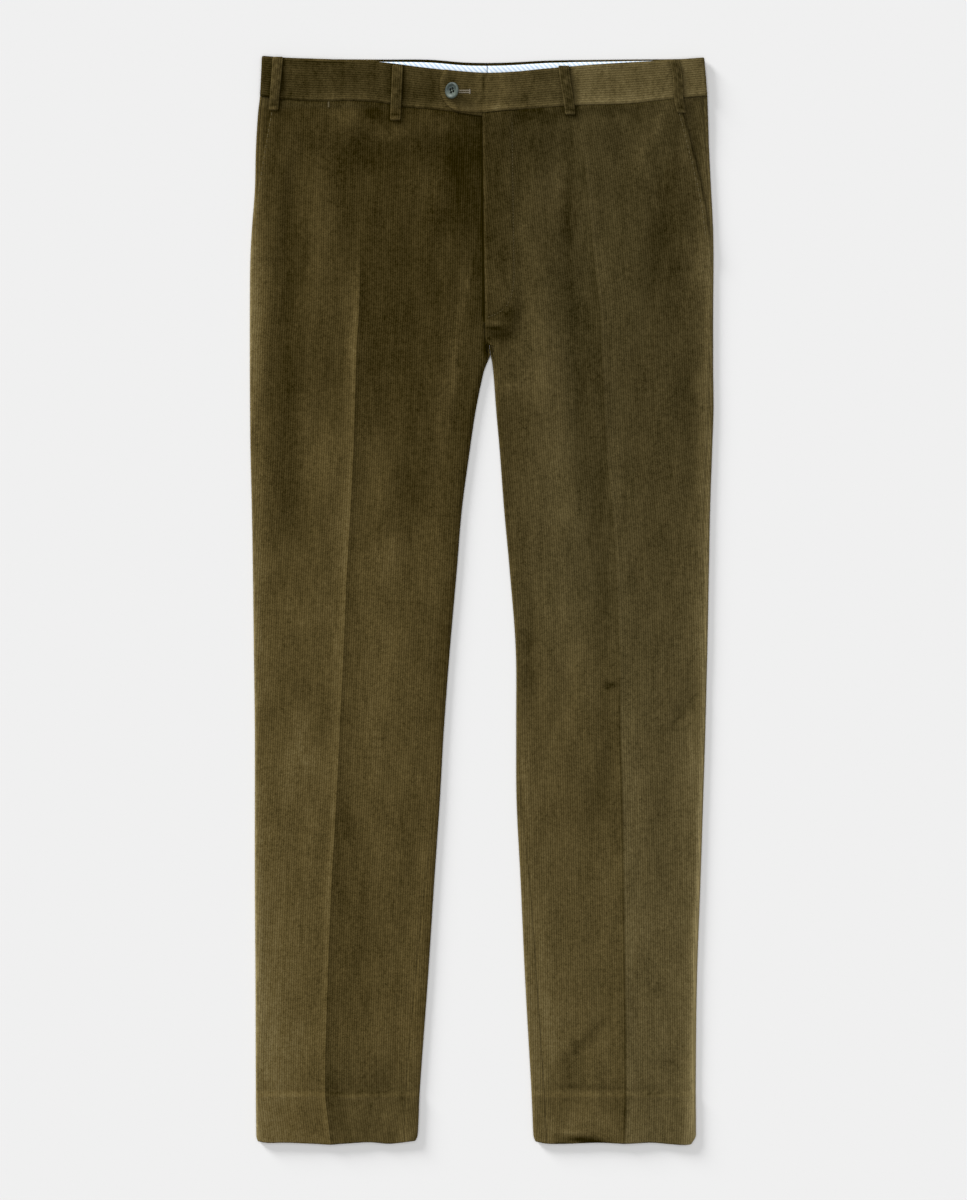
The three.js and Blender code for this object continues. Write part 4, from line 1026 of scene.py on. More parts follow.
BAND_FRONT_UNDER = 5.2
TAB_STEP = BAND_WALL + LAYER_GAP
BAND_ROLL_STEPS = 14
BAND_ROWS = 30
TAB_GROOVE = [(2.6, 524), (0.4, 505), (-1, 486)]
PUCKER_SEED = 8
pucker_random = np.random.default_rng(PUCKER_SEED)
PUCKER_WIDTHS = (6.5, 9.7, 15.3, 27)
PUCKER_PHASES = pucker_random.uniform(0, 2 * math.pi, len(PUCKER_WIDTHS))


def pucker(x):
    """The uneven pull of a line of stitches along a seam."""
    waves = [np.sin(2 * math.pi * x / w + p) for w, p in zip(PUCKER_WIDTHS, PUCKER_PHASES)]
    return sum(waves) / len(waves)


def band_front_level(side, x):
    if side < 0:
        return BAND_FRONT_UNDER + 0 * x
    return BAND_FRONT_UNDER + TAB_STEP * (1 - smooth(FLY_LIFT_NEAR, FLY_LIFT_FAR, x))


def band_front_y(leg, x, part):
    return mix(curve(FRONT_TOP, "x", "y", x), waist_seam(leg, x), part)


def band_back_y(x, part):
    return mix(curve(BACK_TOP, "x", "y", x), back_seam(x), part)


def tab_end(part):
    top = curve(FRONT_TOP, "x", "y", TAB_ARC["x"])
    foot = curve(LEFT_WAIST, "x", "y", TAB_ARC["x"])
    y = mix(top, foot, part)
    return TAB_ARC["x"] - np.sqrt(TAB_ARC["radius"] ** 2 - (y - TAB_ARC["y"]) ** 2)


def band_detail(part, x, depth):
    """The face of the band: puckered along its lower seam, rounded at its top edge."""
    from_top = part * depth
    from_foot = (1 - part) * depth
    detail = -0.45 * bell(from_foot, 0.9) - 0.5 * bell(from_top, 1.1)
    detail += 0.22 * bell(from_foot - 2.4, 1.9) * (0.6 + 1.1 * pucker(x))
    detail += 0.12 * bell(from_top - 3, 3) * (1 + 0.8 * pucker(0.6 * x + 40))
    return detail + 0.22 * pucker(0.27 * x + 11) * bell(part - 0.5, 0.33)


# The band's tone along the garment, with a painted highlight on the puckered ridge above its lower
# seam, painted shade in that seam and along the top edge, and a lighter stretch above the seam
def band_tone(x, part, depth):
    from_top = part * depth
    from_foot = (1 - part) * depth
    tone = curve(BAND_TONE, "x", "tone", x) + 0.10 * (1 - part)
    tone += (0.12 + 0.22 * pucker(x)) * bell(from_foot - 2.2, 1.7) - 0.35 * bell(from_foot, 1)
    tone += 0.20 * bell(from_foot - 4, 5) * smooth(-190, -160, x)
    return tone - 0.22 * bell(from_top, 1.1) + 0.10 * pucker(0.35 * x + 7)


def front_band_columns(side):
    if side < 0:
        near = np.append(FLY_UNDERLAP - EDGE_STEPS[:9], between(17, -205, 84))
        return np.append(near, -205)
    return np.append(between(-22, 205, 86), 205)


TAB_END_SHARES = np.array([0, 0.03, 0.07, 0.13, 0.2, 0.3, 0.42, 0.56, 0.72, 0.88, 1])


def waistband(leg):
    side = leg.side
    name = "right" if side < 0 else "left"
    top_side, foot_side = BAND_SIDES[name]
    radius = (BAND_FRONT_UNDER - BACK_LOOP_RISE) / 2
    half = BAND_WALL / 2
    back_end = BACK_SEAM_X + side * SEAM_GAP / 2
    outers, inners, tones, wales = [], [], [], []
    for part in np.linspace(0, 1, BAND_ROWS):
        front_x = front_band_columns(side)
        if side > 0:
            end = tab_end(part)
            front_x = np.append(mix(end, -22, TAB_END_SHARES), front_x)
        front_y = band_front_y(leg, front_x, part)
        front_z = band_front_level(side, front_x) + half
        edge = mix(top_side, foot_side, part)
        centre_x = edge - side * (radius + half)
        angle = math.pi * np.linspace(0, 1, BAND_ROLL_STEPS + 1)
        roll_x = centre_x + side * np.sin(angle) * radius
        roll_y = mix(band_front_y(leg, roll_x, part), band_back_y(roll_x, part), angle / math.pi)
        roll_z = BACK_LOOP_RISE + half + radius * (1 + np.cos(angle))
        back_x = np.append(-205 if side < 0 else 205, between(205 * side, back_end, 44))
        back_x = np.append(back_x, back_end)
        back_y = band_back_y(back_x, part)
        back_z = np.full(len(back_x), BACK_LOOP_RISE + half)
        x = np.concatenate([front_x, roll_x, back_x])
        y = np.concatenate([front_y, roll_y, back_y])
        z = np.concatenate([front_z, roll_z, back_z])
        nx = np.concatenate([0 * front_x, side * np.sin(angle), 0 * back_x])
        nz = np.concatenate([1 + 0 * front_x, np.cos(angle), 0 * back_x - 1])
        depth = band_front_y(leg, x, 0) - band_front_y(leg, x, 1)
        detail = band_detail(part, x, depth)
        detail = np.where(nz > 0, detail, np.minimum(detail, 0) * 0.6)
        if side < 0:
            detail -= 0.5 * bell(FLY_UNDERLAP - x, EDGE_ROUND) * (nz > 0)
        else:
            from_end = np.where(nz > 0, x - tab_end(part), 99)
            detail += edge_form(from_end, 0.6, 0.25)
            detail -= 0.35 * bell(path_distance(TAB_GROOVE, x, y), 1.1) * (nz > 0.5)
        outer = np.stack([x + nx * (half + detail), y, z + nz * (half + detail)], -1)
        inner = np.stack([x - nx * half, y, z - nz * half], -1)
        # On the face, the band's marks and painted shade beside the loops; on the inside, seen along
        # the top edge, a painted highlight at the wearer's right and painted shade across the middle
        tone = band_tone(x, part, depth) + np.where(
            nz > 0,
            marks_at(BAND_MARKS, "tone", x, y) - loop_shade(x, y),
            0.5 * bell(part * depth, 2) * smooth(-178, -168, x) * smooth(-100, -110, x)
            - 0.8 * bell(part * depth, 4) * smooth(-106, -96, x) * smooth(182, 172, x),
        )
        if side > 0:
            # Painted shade in the groove where the tab steps over the underlap with a painted
            # highlight beside it, a painted highlight round the tab's rounded end with painted shade
            # at its very edge, and a painted highlight along the tab's lower edge
            groove = path_distance(TAB_GROOVE, x, y)
            tone = tone - (0.5 * bell(groove, 1.2) - 0.16 * bell(groove - 4, 3)) * (nz > 0.5)
            tone = tone + 0.26 * bell(from_end - 3.5, 4) - 0.3 * bell(from_end, 0.9)
            tab_foot_highlight = bell((1 - part) * depth - 3, 4) * smooth(30, 10, x) * (nz > 0)
            tone = tone + (0.30 + 0.16 * pucker(x)) * tab_foot_highlight
        if side < 0:
            outer, inner, tone, y = outer[::-1], inner[::-1], tone[::-1], y[::-1]
        outers.append(outer)
        inners.append(inner)
        tones.append(tone)
        wales.append(part * depth.mean() + 0 * y)
    return wall_object(
        f"cloth_waistband_{leg.name}", np.array(outers), np.array(inners),
        tone=np.array(tones), wale=np.array(wales),
    )


# The striped lining on the inside of the back waistband

LINING_UNDER = BACK_LOOP_RISE + BAND_WALL + LAYER_GAP
LINING_ENDS = {"right": -130, "left": 186}
LINING_INSETS = table(
    "x inset",
    (-130, 2.5), (-90, 2.5), (-50, 3.0), (20, 3.0), (60, 2.6), (110, 2.2), (160, 1.8), (186, 1.2),
)


def waist_lining(leg):
    near = BACK_SEAM_X + leg.side * SEAM_GAP / 2
    columns = np.linspace(near, LINING_ENDS[leg.name], 70)
    if leg.side < 0:
        columns = columns[::-1]
    part = np.linspace(0, 1, 16)[:, None]
    x = np.tile(columns, (16, 1))
    inset = curve(LINING_INSETS, "x", "inset", x)
    y = curve(BACK_TOP, "x", "y", x) - inset - (LINING_HEIGHT + LINING_INSET - inset) * part
    under = np.full(x.shape, LINING_UNDER)
    face = under + LINING_WALL - 0.35 * bell(part, 0.03) - 0.3 * bell(x - near, 0.8)
    face = face + 0.08 * np.sin(x / 5 + 3 * part) * bell(part - 0.4, 0.4)
    return layer_object(f"cloth_waist_lining_{leg.name}", x, y, under, face)


# Belt loops: strips with stitched edges, folded under at both ends

# Each front loop: its top and foot, widths, twist, its tone, and how much painted highlight lies
# along its left and right edges
FRONT_LOOPS = {
    "belt_loop_right_side": {
        "top": (-203.6, 542.2), "foot": (-207.9, 488.7), "widths": (10.6, 9.4), "twist": 0.1,
        "tone": 0.30, "left": 0.30, "right": 0.08,
    },
    "belt_loop_right_front": {
        "top": (-84, 534.4), "foot": (-86.5, 478.7), "widths": (10.8, 10.6), "twist": 0.0,
        "tone": 0.22, "left": 0.26, "right": 0.20,
    },
    "belt_loop_left_front": {
        "top": (81.8, 533.2), "foot": (88.2, 484.4), "widths": (11.6, 10.2), "twist": -0.4,
        "tone": 0.10, "left": 0.42, "right": 0.16,
    },
    "belt_loop_left_side": {
        "top": (191.8, 539.0), "foot": (199.6, 486.0), "widths": (10.2, 9.0), "twist": 1.1,
        "tone": 0.18, "left": 0.46, "right": 0.44,
    },
}
LOOP_ARCH = 1.0
LOOP_ROWS = 52
LOOP_COLUMNS = 15
LOOP_STITCH = 0.31


def loop_shade(x, y):
    """How much darker the cloth looks close beside and below the belt loops."""
    shade = np.zeros(np.broadcast(x, y).shape)
    for loop in FRONT_LOOPS.values():
        (top_x, top_y), (foot_x, foot_y) = loop["top"], loop["foot"]
        part = np.clip((top_y - y) / (top_y - foot_y), 0, 1)
        offset = x - mix(top_x, foot_x, part)
        beside = np.maximum(np.abs(offset) - mix(*loop["widths"], part) / 2, 0)
        below = np.maximum(foot_y - y, 0)
        strength = np.where(offset > 0, 0.56, 0.34)
        shade += strength * np.exp(-np.hypot(beside, below) / 1.5)
    return shade


def front_surface(x, y):
    """The height of whatever lies on top at a point of the front."""
    right = surface_of(LEGS["right"], x, y)
    left = surface_of(LEGS["left"], x, y)
    return by_side(x, right, left)


def surface_of(leg, x, y):
    lift = pocket_lift(leg, x, y)
    if leg.side > 0:
        lift = lift + fly_lift(x, y)
    panel = front_under(x, y) + lift + panel_wall(y)
    band = band_front_level(leg.side, x) + BAND_WALL
    return np.where(y > waist_seam(leg, x) - SEAM_GAP - 1, band, panel)


def loop_section(share):
    """The face of a loop across its width: crowned, with two lines of stitches."""
    crown = 0.42 * (1 - (2 * share) ** 2)
    stitches = 0.24 * (bell(share - LOOP_STITCH, 0.05) + bell(share + LOOP_STITCH, 0.05))
    rounded = 0.45 * bell(np.abs(share) - 0.5, 0.06)
    return crown - stitches - rounded


def front_loop(name, loop):
    part = np.linspace(0, 1, LOOP_ROWS)[:, None]
    share = np.linspace(-0.5, 0.5, LOOP_COLUMNS)[None, :]
    (top_x, top_y), (foot_x, foot_y) = loop["top"], loop["foot"]
    middle_x = mix(top_x, foot_x, part) + loop["twist"] * np.sin(2 * math.pi * part)
    corner = 1.6 * (bell(part, 0.018) + bell(1 - part, 0.022))
    width = mix(*loop["widths"], part)
    x = middle_x + share * (width - corner)
    y = mix(top_y, foot_y, part) + 0 * x
    seat = np.maximum(
        np.maximum(front_surface(middle_x - width / 2, y[:, :1]),
                   front_surface(middle_x + width / 2, y[:, :1])),
        front_surface(middle_x, y[:, :1]),
    )
    under = seat + LAYER_GAP + LOOP_ARCH * np.sin(math.pi * part) + 0 * x
    folds = 0.07 * np.sin(part * 23 + share * 5 + top_x) + 0.05 * np.sin(part * 41 - share * 7)
    ends = -0.5 * (bell(part, 0.014) + bell(1 - part, 0.014))
    face = under + LOOP_WALL + loop_section(share) + folds * smooth(0, 0.15, part) + ends
    face = np.maximum(face, under + 0.5)
    # Painted light and shade on the loop's small folds, painted highlights along its edges, top and
    # folded foot, and painted shade at its right edge, in the stitch lines and above the folded foot
    tone = loop["tone"] + 1.6 * folds
    tone = tone + loop["left"] * bell(share + 0.42, 0.07) + loop["right"] * bell(share - 0.4, 0.07)
    tone = tone - 0.12 * (bell(share - LOOP_STITCH, 0.06) + bell(share + LOOP_STITCH, 0.06))
    tone = tone - 0.4 * bell(share - 0.5, 0.05) + 0.40 * bell(part - 0.965, 0.022)
    tone = tone - 0.3 * bell(part - 0.90, 0.02) + 0.16 * bell(part - 0.05, 0.03)
    wale = share * width + 0 * y
    return layer_object(f"cloth_{name}", x, y, under, face, tone=tone, wale=wale)


BACK_LOOPS = {"right": -112, "centre": BACK_SEAM_X, "left": 124}


def back_loop(name, loop_x):
    top = min(
        float(curve(BACK_TOP, "x", "y", loop_x - LOOP_WIDTH / 2)),
        float(curve(BACK_TOP, "x", "y", loop_x + LOOP_WIDTH / 2)),
    )
    foot = back_seam(loop_x) - BACK_LOOP_FOOT
    part = np.linspace(0, 1, LOOP_ROWS)[:, None]
    share = np.linspace(-0.5, 0.5, LOOP_COLUMNS)[None, :]
    x = loop_x + share * LOOP_WIDTH + 0 * part
    y = mix(top, foot, part) + 0 * x
    groove = 0.2 * (bell(share - LOOP_STITCH, 0.05) + bell(share + LOOP_STITCH, 0.05))
    rounded = 0.4 * (bell(np.abs(share) - 0.5, 0.06) + bell(part, 0.014) + bell(1 - part, 0.014))
    tacks = 0.25 * (bell(part - 0.1, 0.012) + bell(part - 0.9, 0.012))
    under = np.minimum(groove + rounded + tacks, 0.7) + 0 * x
    face = np.full(x.shape, LOOP_WALL)
    tone = 0.5 - 1.2 * groove - 1.2 * tacks + 0 * x
    wale = share * LOOP_WIDTH + 0 * y
    return layer_object(f"cloth_belt_loop_back_{name}", x, y, under, face, tone=tone, wale=wale)


# The button: a turned disc with a raised rim and four holes

BUTTON_PLACE = {"x": -29.1, "y": 507.7}
BUTTON_FOOT_RADIUS = 7.35
BUTTON_TURN = math.radians(16)
BUTTON_PROFILE = table(
    "radius height",
    (0, 1.75), (3.6, 1.82), (4.6, 1.95), (5.5, 2.45), (6.3, 2.78), (6.95, 2.8), (7.7, 2.52),
    (8.2, 1.95), (8.25, 1.5), (7.95, 0.8), (7.3, 0.2), (6.6, 0), (0, 0),
)
BUTTON_SIDES = 96
HOLE_RADIUS = 1.3
HOLE_SPACING = 2.9
HOLE_DEPTH = 1.7


def button():
    lengths = np.hypot(np.diff(BUTTON_PROFILE["radius"]), np.diff(BUTTON_PROFILE["height"]))
    along = np.append(0, np.cumsum(lengths))
    face_steps = np.linspace(0, along[1], 26)[1:]
    rest = np.linspace(along[1], along[-1], 52)[1:-1]
    steps = np.concatenate([face_steps, rest])
    radius = np.interp(steps, along, BUTTON_PROFILE["radius"])
    height = np.interp(steps, along, BUTTON_PROFILE["height"])
    turn = 2 * math.pi * np.arange(BUTTON_SIDES) / BUTTON_SIDES
    x = radius[:, None] * np.cos(turn)[None, :]
    y = radius[:, None] * np.sin(turn)[None, :]
    z = height[:, None] + 0 * x
    hole = np.zeros(x.shape)
    facing_up = (np.arange(len(steps)) < len(face_steps) + 6)[:, None]
    for sx, sy in [(-1, -1), (-1, 1), (1, -1), (1, 1)]:
        hx = sx * HOLE_SPACING / 2
        hy = sy * HOLE_SPACING / 2
        cx = hx * math.cos(BUTTON_TURN) - hy * math.sin(BUTTON_TURN)
        cy = hx * math.sin(BUTTON_TURN) + hy * math.cos(BUTTON_TURN)
        inside = 1 - smooth(HOLE_RADIUS - 0.14, HOLE_RADIUS + 0.14, np.hypot(x - cx, y - cy))
        hole = np.maximum(hole, inside * facing_up)
    z = z - HOLE_DEPTH * hole
    pale = 0.06 + 0.24 * smooth(2, -6, y) + 0.1 * smooth(0, 8, x)
    pale = pale + 0.6 * bell(np.hypot(x - 0.5, y + 0.4), 2.7)
    rows = len(steps)
    points = np.concatenate([
        np.stack([x, y, z], -1).reshape(-1, 3),
        [[0, 0, BUTTON_PROFILE["height"][0]], [0, 0, 0]],
    ])
    index = np.arange(rows * BUTTON_SIDES).reshape(rows, BUTTON_SIDES)
    wrapped = np.concatenate([index, index[:, :1]], 1)
    faces = grid_faces(wrapped).tolist()
    top = rows * BUTTON_SIDES
    faces += [(top, a, b) for a, b in zip(wrapped[0][:-1], wrapped[0][1:])]
    faces += [(top + 1, b, a) for a, b in zip(wrapped[-1][:-1], wrapped[-1][1:])]
    lift = LAYER_GAP + BUTTON_FOOT_RADIUS * math.sin(BUTTON_TILT)
    base = BAND_FRONT_UNDER + TAB_STEP + BAND_WALL + lift
    c = math.cos(BUTTON_TILT)
    s = math.sin(BUTTON_TILT)
    tilted = np.stack([
        BUTTON_PLACE["x"] + points[:, 0] * c - points[:, 2] * s,
        BUTTON_PLACE["y"] + points[:, 1],
        base + points[:, 0] * s + points[:, 2] * c,
    ], -1)
    paint = {
        "hole": np.append(hole.ravel(), [0, 0]),
        "pale": np.append(pale.ravel(), [0.7, 0]),
    }
    return mesh_object("turned_button", tilted, faces, paint)


# Stitches, as joined meshes of short rounded threads

CAPSULE_SIDES = 7
CAPSULE_RINGS = 6


def threads(name, stitches):
    """One mesh of many stitches: each has a start, an end and a thread radius."""
    angle = math.pi * (np.arange(CAPSULE_RINGS) + 0.5) / CAPSULE_RINGS
    turn = 2 * math.pi * np.arange(CAPSULE_SIDES) / CAPSULE_SIDES
    points = []
    faces = []
    for start, end, radius in stitches:
        start = np.array(start, float)
        end = np.array(end, float)
        axis = end - start
        length = np.linalg.norm(axis)
        axis = axis / length
        side = np.cross(axis, (0, 0, 1) if abs(axis[2]) < 0.9 else (1, 0, 0))
        side = side / np.linalg.norm(side)
        up = np.cross(side, axis)
        middle = (start + end) / 2
        base = len(points)
        points.append(middle - axis * length / 2)
        for a in angle:
            for t in turn:
                ring = radius * math.sin(a) * (side * math.cos(t) + up * math.sin(t))
                points.append(middle - axis * length / 2 * math.cos(a) + ring)
        points.append(middle + axis * length / 2)
        for k in range(CAPSULE_SIDES):
            after = (k + 1) % CAPSULE_SIDES
            faces.append((base, base + 1 + k, base + 1 + after))
            for ring_index in range(CAPSULE_RINGS - 1):
                low = base + 1 + ring_index * CAPSULE_SIDES
                high = low + CAPSULE_SIDES
                faces.append((low + k, high + k, high + after, low + after))
            last = base + 1 + (CAPSULE_RINGS - 1) * CAPSULE_SIDES
            faces.append((last + k, base + 1 + CAPSULE_RINGS * CAPSULE_SIDES, last + after))
    return mesh_object(name, points, faces)


def panel_face(leg, x, y):
    """The height of a front panel's face at one point."""
    return float(front_heights(leg, np.array([x]), np.array([y]))[1][0])


def pocket_stitches(leg):
    """Pick stitches along a slanted pocket edge: pairs of small sunk specks."""
    stitches = []
    for y in np.arange(486, 362, -5.4):
        edge = float(front_outer_edge(leg, y))
        inset = 1.6 if leg.side < 0 else 4
        for dy in (0, -1.7):
            x = edge - leg.side * inset
            z = panel_face(leg, x, y + dy) - 0.02
            stitches.append(((x, y + dy + 0.6, z), (x + 0.2, y + dy - 0.6, z), 0.4))
    return threads(f"stitches_pocket_{leg.name}", stitches)


def fly_stitches():
    """The curved line of small stitches that holds the fly facing."""
    leg = LEGS["left"]
    stitches = []
    points = np.array(FLY_STITCH)
    lengths = np.hypot(*np.diff(points, axis=0).T)
    along = np.append(0, np.cumsum(lengths))
    for s in np.arange(1, along[-1] - 2, 3.1):
        x0, y0 = (np.interp(s, along, points[:, k]) for k in (0, 1))
        x1, y1 = (np.interp(s + 2.1, along, points[:, k]) for k in (0, 1))
        z0 = panel_face(leg, x0, y0) + 0.02
        z1 = panel_face(leg, x1, y1) + 0.02
        stitches.append(((x0, y0, z0), (x1, y1, z1), 0.2))
    return threads("stitches_fly", stitches)


BUTTONHOLE = {"start": -23, "end": -12.8, "y": 507.4, "half": 1.7}


def buttonhole():
    """Two rows of close stitches beside the slit and a bar at its end."""
    z = BAND_FRONT_UNDER + TAB_STEP + BAND_WALL
    stitches = []
    for side in (-1, 1):
        for x in np.arange(BUTTONHOLE["start"], BUTTONHOLE["end"], 0.55):
            near = BUTTONHOLE["y"] + side * 0.35
            far = BUTTONHOLE["y"] + side * (BUTTONHOLE["half"] + 0.12 * math.sin(5 * x))
            stitches.append(((x, near, z + 0.12), (x + 0.15, far, z + 0.05), 0.3))
    for y in np.arange(-2.1, 2.2, 0.5):
        start = (BUTTONHOLE["end"] - 0.3, BUTTONHOLE["y"] + y, z + 0.12)
        end = (BUTTONHOLE["end"] + 1.5, BUTTONHOLE["y"] + y, z + 0.1)
        stitches.append((start, end, 0.3))
    return threads("stitches_buttonhole", stitches)


def bar_tack():
    """A short bar of close stitches at the right front, where the panel meets the band."""
    stitches = []
    z = panel_face(LEGS["right"], -153, 494.5) + 0.12
    for dy in np.arange(0, 5.5, 0.5):
        stitches.append(((-154, 492 + dy, z), (-152.2, 492.2 + dy, z + 0.05), 0.28))
    return threads("stitches_tack", stitches)


# Materials. Colours are linear.

# The cloth's colour at the dark, middle and light ends of its tone, which carries both the pile's
# own tone and painted light and shade, and the first two where it looks a little cooler
CORDUROY_DARK = (0.0125, 0.0083, 0.0, 1)
CORDUROY_MIDDLE = (0.0997, 0.0721, 0.0249, 1)
CORDUROY_LIGHT = (0.25, 0.1997, 0.092, 1)
CORDUROY_DARK_COOL = (0.0118, 0.0086, 0.0008, 1)
CORDUROY_MIDDLE_COOL = (0.0962, 0.0735, 0.0288, 1)
TONE_LOW = -0.3
TONE_MIDDLE = 0.9
TONE_HIGH = 3.3
WALE_PITCH = 2.3


class Nodes:
    """Short ways to add and join the nodes of one material."""

    def __init__(self, name):
        self.material = bpy.data.materials.new(name)
        self.material.use_nodes = True
        self.tree = self.material.node_tree
        self.shader = self.tree.nodes["Principled BSDF"]

    def add(self, kind, **settings):
        node = self.tree.nodes.new(kind)
        for key, value in settings.items():
            setattr(node, key, value)
        return node

    def put(self, value, socket):
        if isinstance(value, bpy.types.NodeSocket):
            self.tree.links.new(value, socket)
        else:
            socket.default_value = value

    def math(self, operation, a, b=0.0):
        node = self.add("ShaderNodeMath", operation=operation)
        self.put(a, node.inputs[0])
        self.put(b, node.inputs[1])
        return node.outputs[0]

    def attribute(self, name):
        return self.add("ShaderNodeAttribute", attribute_name=name).outputs["Fac"]

    def noise(self, scale, stretch=(1, 1, 1), detail=2.0, place=(0, 0, 0)):
        """Noise about zero, from -0.5 to 0.5, in the frame's own places."""
        coordinates = self.add("ShaderNodeTexCoord").outputs["Object"]
        mapping = self.add("ShaderNodeMapping")
        mapping.inputs["Location"].default_value = place
        mapping.inputs["Scale"].default_value = stretch
        self.put(coordinates, mapping.inputs["Vector"])
        node = self.add("ShaderNodeTexNoise")
        node.inputs["Scale"].default_value = scale
        node.inputs["Detail"].default_value = detail
        self.put(mapping.outputs["Vector"], node.inputs["Vector"])
        return self.math("SUBTRACT", node.outputs["Fac"], 0.5)

    def blend(self, share, dark, light):
        node = self.add("ShaderNodeMix", data_type="RGBA")
        self.put(share, node.inputs["Factor"])
        self.put(dark, node.inputs["A"])
        self.put(light, node.inputs["B"])
        return node.outputs["Result"]

    def share(self, value, low=0.0, high=1.0):
        """Where a value lies between two, from 0 to 1."""
        share = self.math("DIVIDE", self.math("SUBTRACT", value, low), high - low)
        return self.math("MINIMUM", self.math("MAXIMUM", share, 0.0), 1.0)

    def bump(self, height, strength, distance):
        node = self.add("ShaderNodeBump")
        node.inputs["Strength"].default_value = strength
        node.inputs["Distance"].default_value = distance
        self.put(height, node.inputs["Height"])
        self.put(node.outputs["Normal"], self.shader.inputs["Normal"])

    def set(self, **values):
        for key, value in values.items():
            self.put(value, self.shader.inputs[key.replace("_", " ")])


def corduroy():
    nodes = Nodes("corduroy_cloth")
    tone = nodes.attribute("tone")
    broad = nodes.noise(13, stretch=(1, 0.4, 1), detail=5.0)
    mottle = nodes.noise(60, stretch=(1, 0.5, 1), detail=4.0, place=(3, 1, 0))
    crushed = nodes.noise(230, stretch=(1, 0.9, 1), detail=2.0, place=(5, 9, 0))
    streaks = nodes.noise(260, stretch=(1, 0.1, 1), detail=2.0, place=(7, 2, 0))
    speckle = nodes.noise(750, detail=2.0)
    parts = [(broad, 0.36), (mottle, 0.64), (crushed, 0.92), (streaks, 0.56), (speckle, 1.4)]
    contrast = nodes.math("ADD", nodes.math("MULTIPLY", tone, 0.75), 0.6)
    uneven = 0.0
    for part, amount in parts:
        uneven = nodes.math("ADD", nodes.math("MULTIPLY", part, amount), uneven)
    tone = nodes.math("ADD", tone, nodes.math("MULTIPLY", uneven, contrast))
    angle = nodes.math("MULTIPLY", nodes.attribute("wale"), 2 * math.pi / WALE_PITCH)
    wave = nodes.math("COSINE", angle)
    depth = nodes.math("ADD", nodes.math("MULTIPLY", streaks, 0.35), 0.11)
    tone = nodes.math("ADD", tone, nodes.math("MULTIPLY", wave, depth))
    height = nodes.math("ADD", wave, nodes.math("MULTIPLY", speckle, 2.4))
    nodes.bump(height, 0.45, 0.00035)
    cool = nodes.attribute("cool")
    dark = nodes.blend(cool, CORDUROY_DARK, CORDUROY_DARK_COOL)
    middle = nodes.blend(cool, CORDUROY_MIDDLE, CORDUROY_MIDDLE_COOL)
    colour = nodes.blend(nodes.share(tone, TONE_LOW, TONE_MIDDLE), dark, middle)
    nodes.set(
        Base_Color=nodes.blend(nodes.share(tone, TONE_MIDDLE, TONE_HIGH), colour, CORDUROY_LIGHT),
        Roughness=0.95,
        Sheen_Weight=0.06,
        Sheen_Roughness=0.5,
        Specular_IOR_Level=0.0,
    )
    nodes.shader.inputs["Sheen Tint"].default_value = (1.0, 0.75, 0.3, 1)
    return nodes.material


LINING_BLUE = (0.50, 0.64, 0.82, 1)
LINING_WHITE = (0.85, 0.90, 0.94, 1)
STRIPE_PITCH = 3.5


def lining_cloth():
    nodes = Nodes("striped_lining")
    coordinates = nodes.add("ShaderNodeTexCoord").outputs["Object"]
    parts = nodes.add("ShaderNodeSeparateXYZ")
    nodes.put(coordinates, parts.inputs[0])
    diagonal = nodes.math("ADD", parts.outputs["X"], parts.outputs["Y"])
    angle = nodes.math("MULTIPLY", diagonal, 2 * math.pi / (STRIPE_PITCH * MM * math.sqrt(2)))
    wave = nodes.math("SINE", angle)
    share = nodes.math("ADD", nodes.math("MULTIPLY", wave, 1.4), 0.7)
    share = nodes.math("ADD", share, nodes.math("MULTIPLY", nodes.noise(900), 0.6))
    share = nodes.share(share)
    nodes.bump(nodes.noise(1500, detail=2.0), 0.15, 0.0002)
    nodes.set(
        Base_Color=nodes.blend(share, LINING_BLUE, LINING_WHITE),
        Roughness=0.8,
        Specular_IOR_Level=0.25,
    )
    return nodes.material


BUTTON_SLATE = (0.03, 0.042, 0.04, 1)
BUTTON_PALE = (0.165, 0.2, 0.157, 1)
HOLE_SHADE = (0.001, 0.001, 0.001, 1)


def button_plastic():
    nodes = Nodes("mottled_button")
    cloud = nodes.noise(420, stretch=(1, 0.5, 1), detail=4.0)
    share = nodes.math("ADD", nodes.math("MULTIPLY", cloud, 0.9), nodes.attribute("pale"))
    share = nodes.share(share)
    colour = nodes.blend(share, BUTTON_SLATE, BUTTON_PALE)
    # The holes are painted near black: painted shade for their depth
    colour = nodes.blend(nodes.attribute("hole"), colour, HOLE_SHADE)
    nodes.bump(nodes.noise(700, detail=2.0), 0.06, 0.0002)
    nodes.set(Base_Color=colour, Roughness=0.5, Specular_IOR_Level=0.3)
    return nodes.material


def thread_material(name, dark, light):
    nodes = Nodes(name)
    share = nodes.math("ADD", nodes.math("MULTIPLY", nodes.noise(1600, detail=2.0), 1.6), 0.5)
    nodes.bump(nodes.noise(2600, stretch=(1, 1, 1)), 0.3, 0.0001)
    nodes.set(
        Base_Color=nodes.blend(share, dark, light),
        Roughness=0.75,
        Specular_IOR_Level=0.25,
    )
    return nodes.material


cloth_material = corduroy()
lining_material = lining_cloth()
button_material = button_plastic()
brown_thread = thread_material("brown_thread", (0.045, 0.033, 0.012, 1), (0.13, 0.10, 0.05, 1))
pale_thread = thread_material("pale_thread", (0.13, 0.11, 0.078, 1), (0.30, 0.265, 0.20, 1))
gold_thread = thread_material("gold_thread", (0.07, 0.055, 0.024, 1), (0.18, 0.145, 0.07, 1))


def finish_piece(piece, material, slot, *nodes):
    piece.data.materials.append(material)
    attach(piece, "root")
    if nodes:
        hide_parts(*nodes)
    return piece


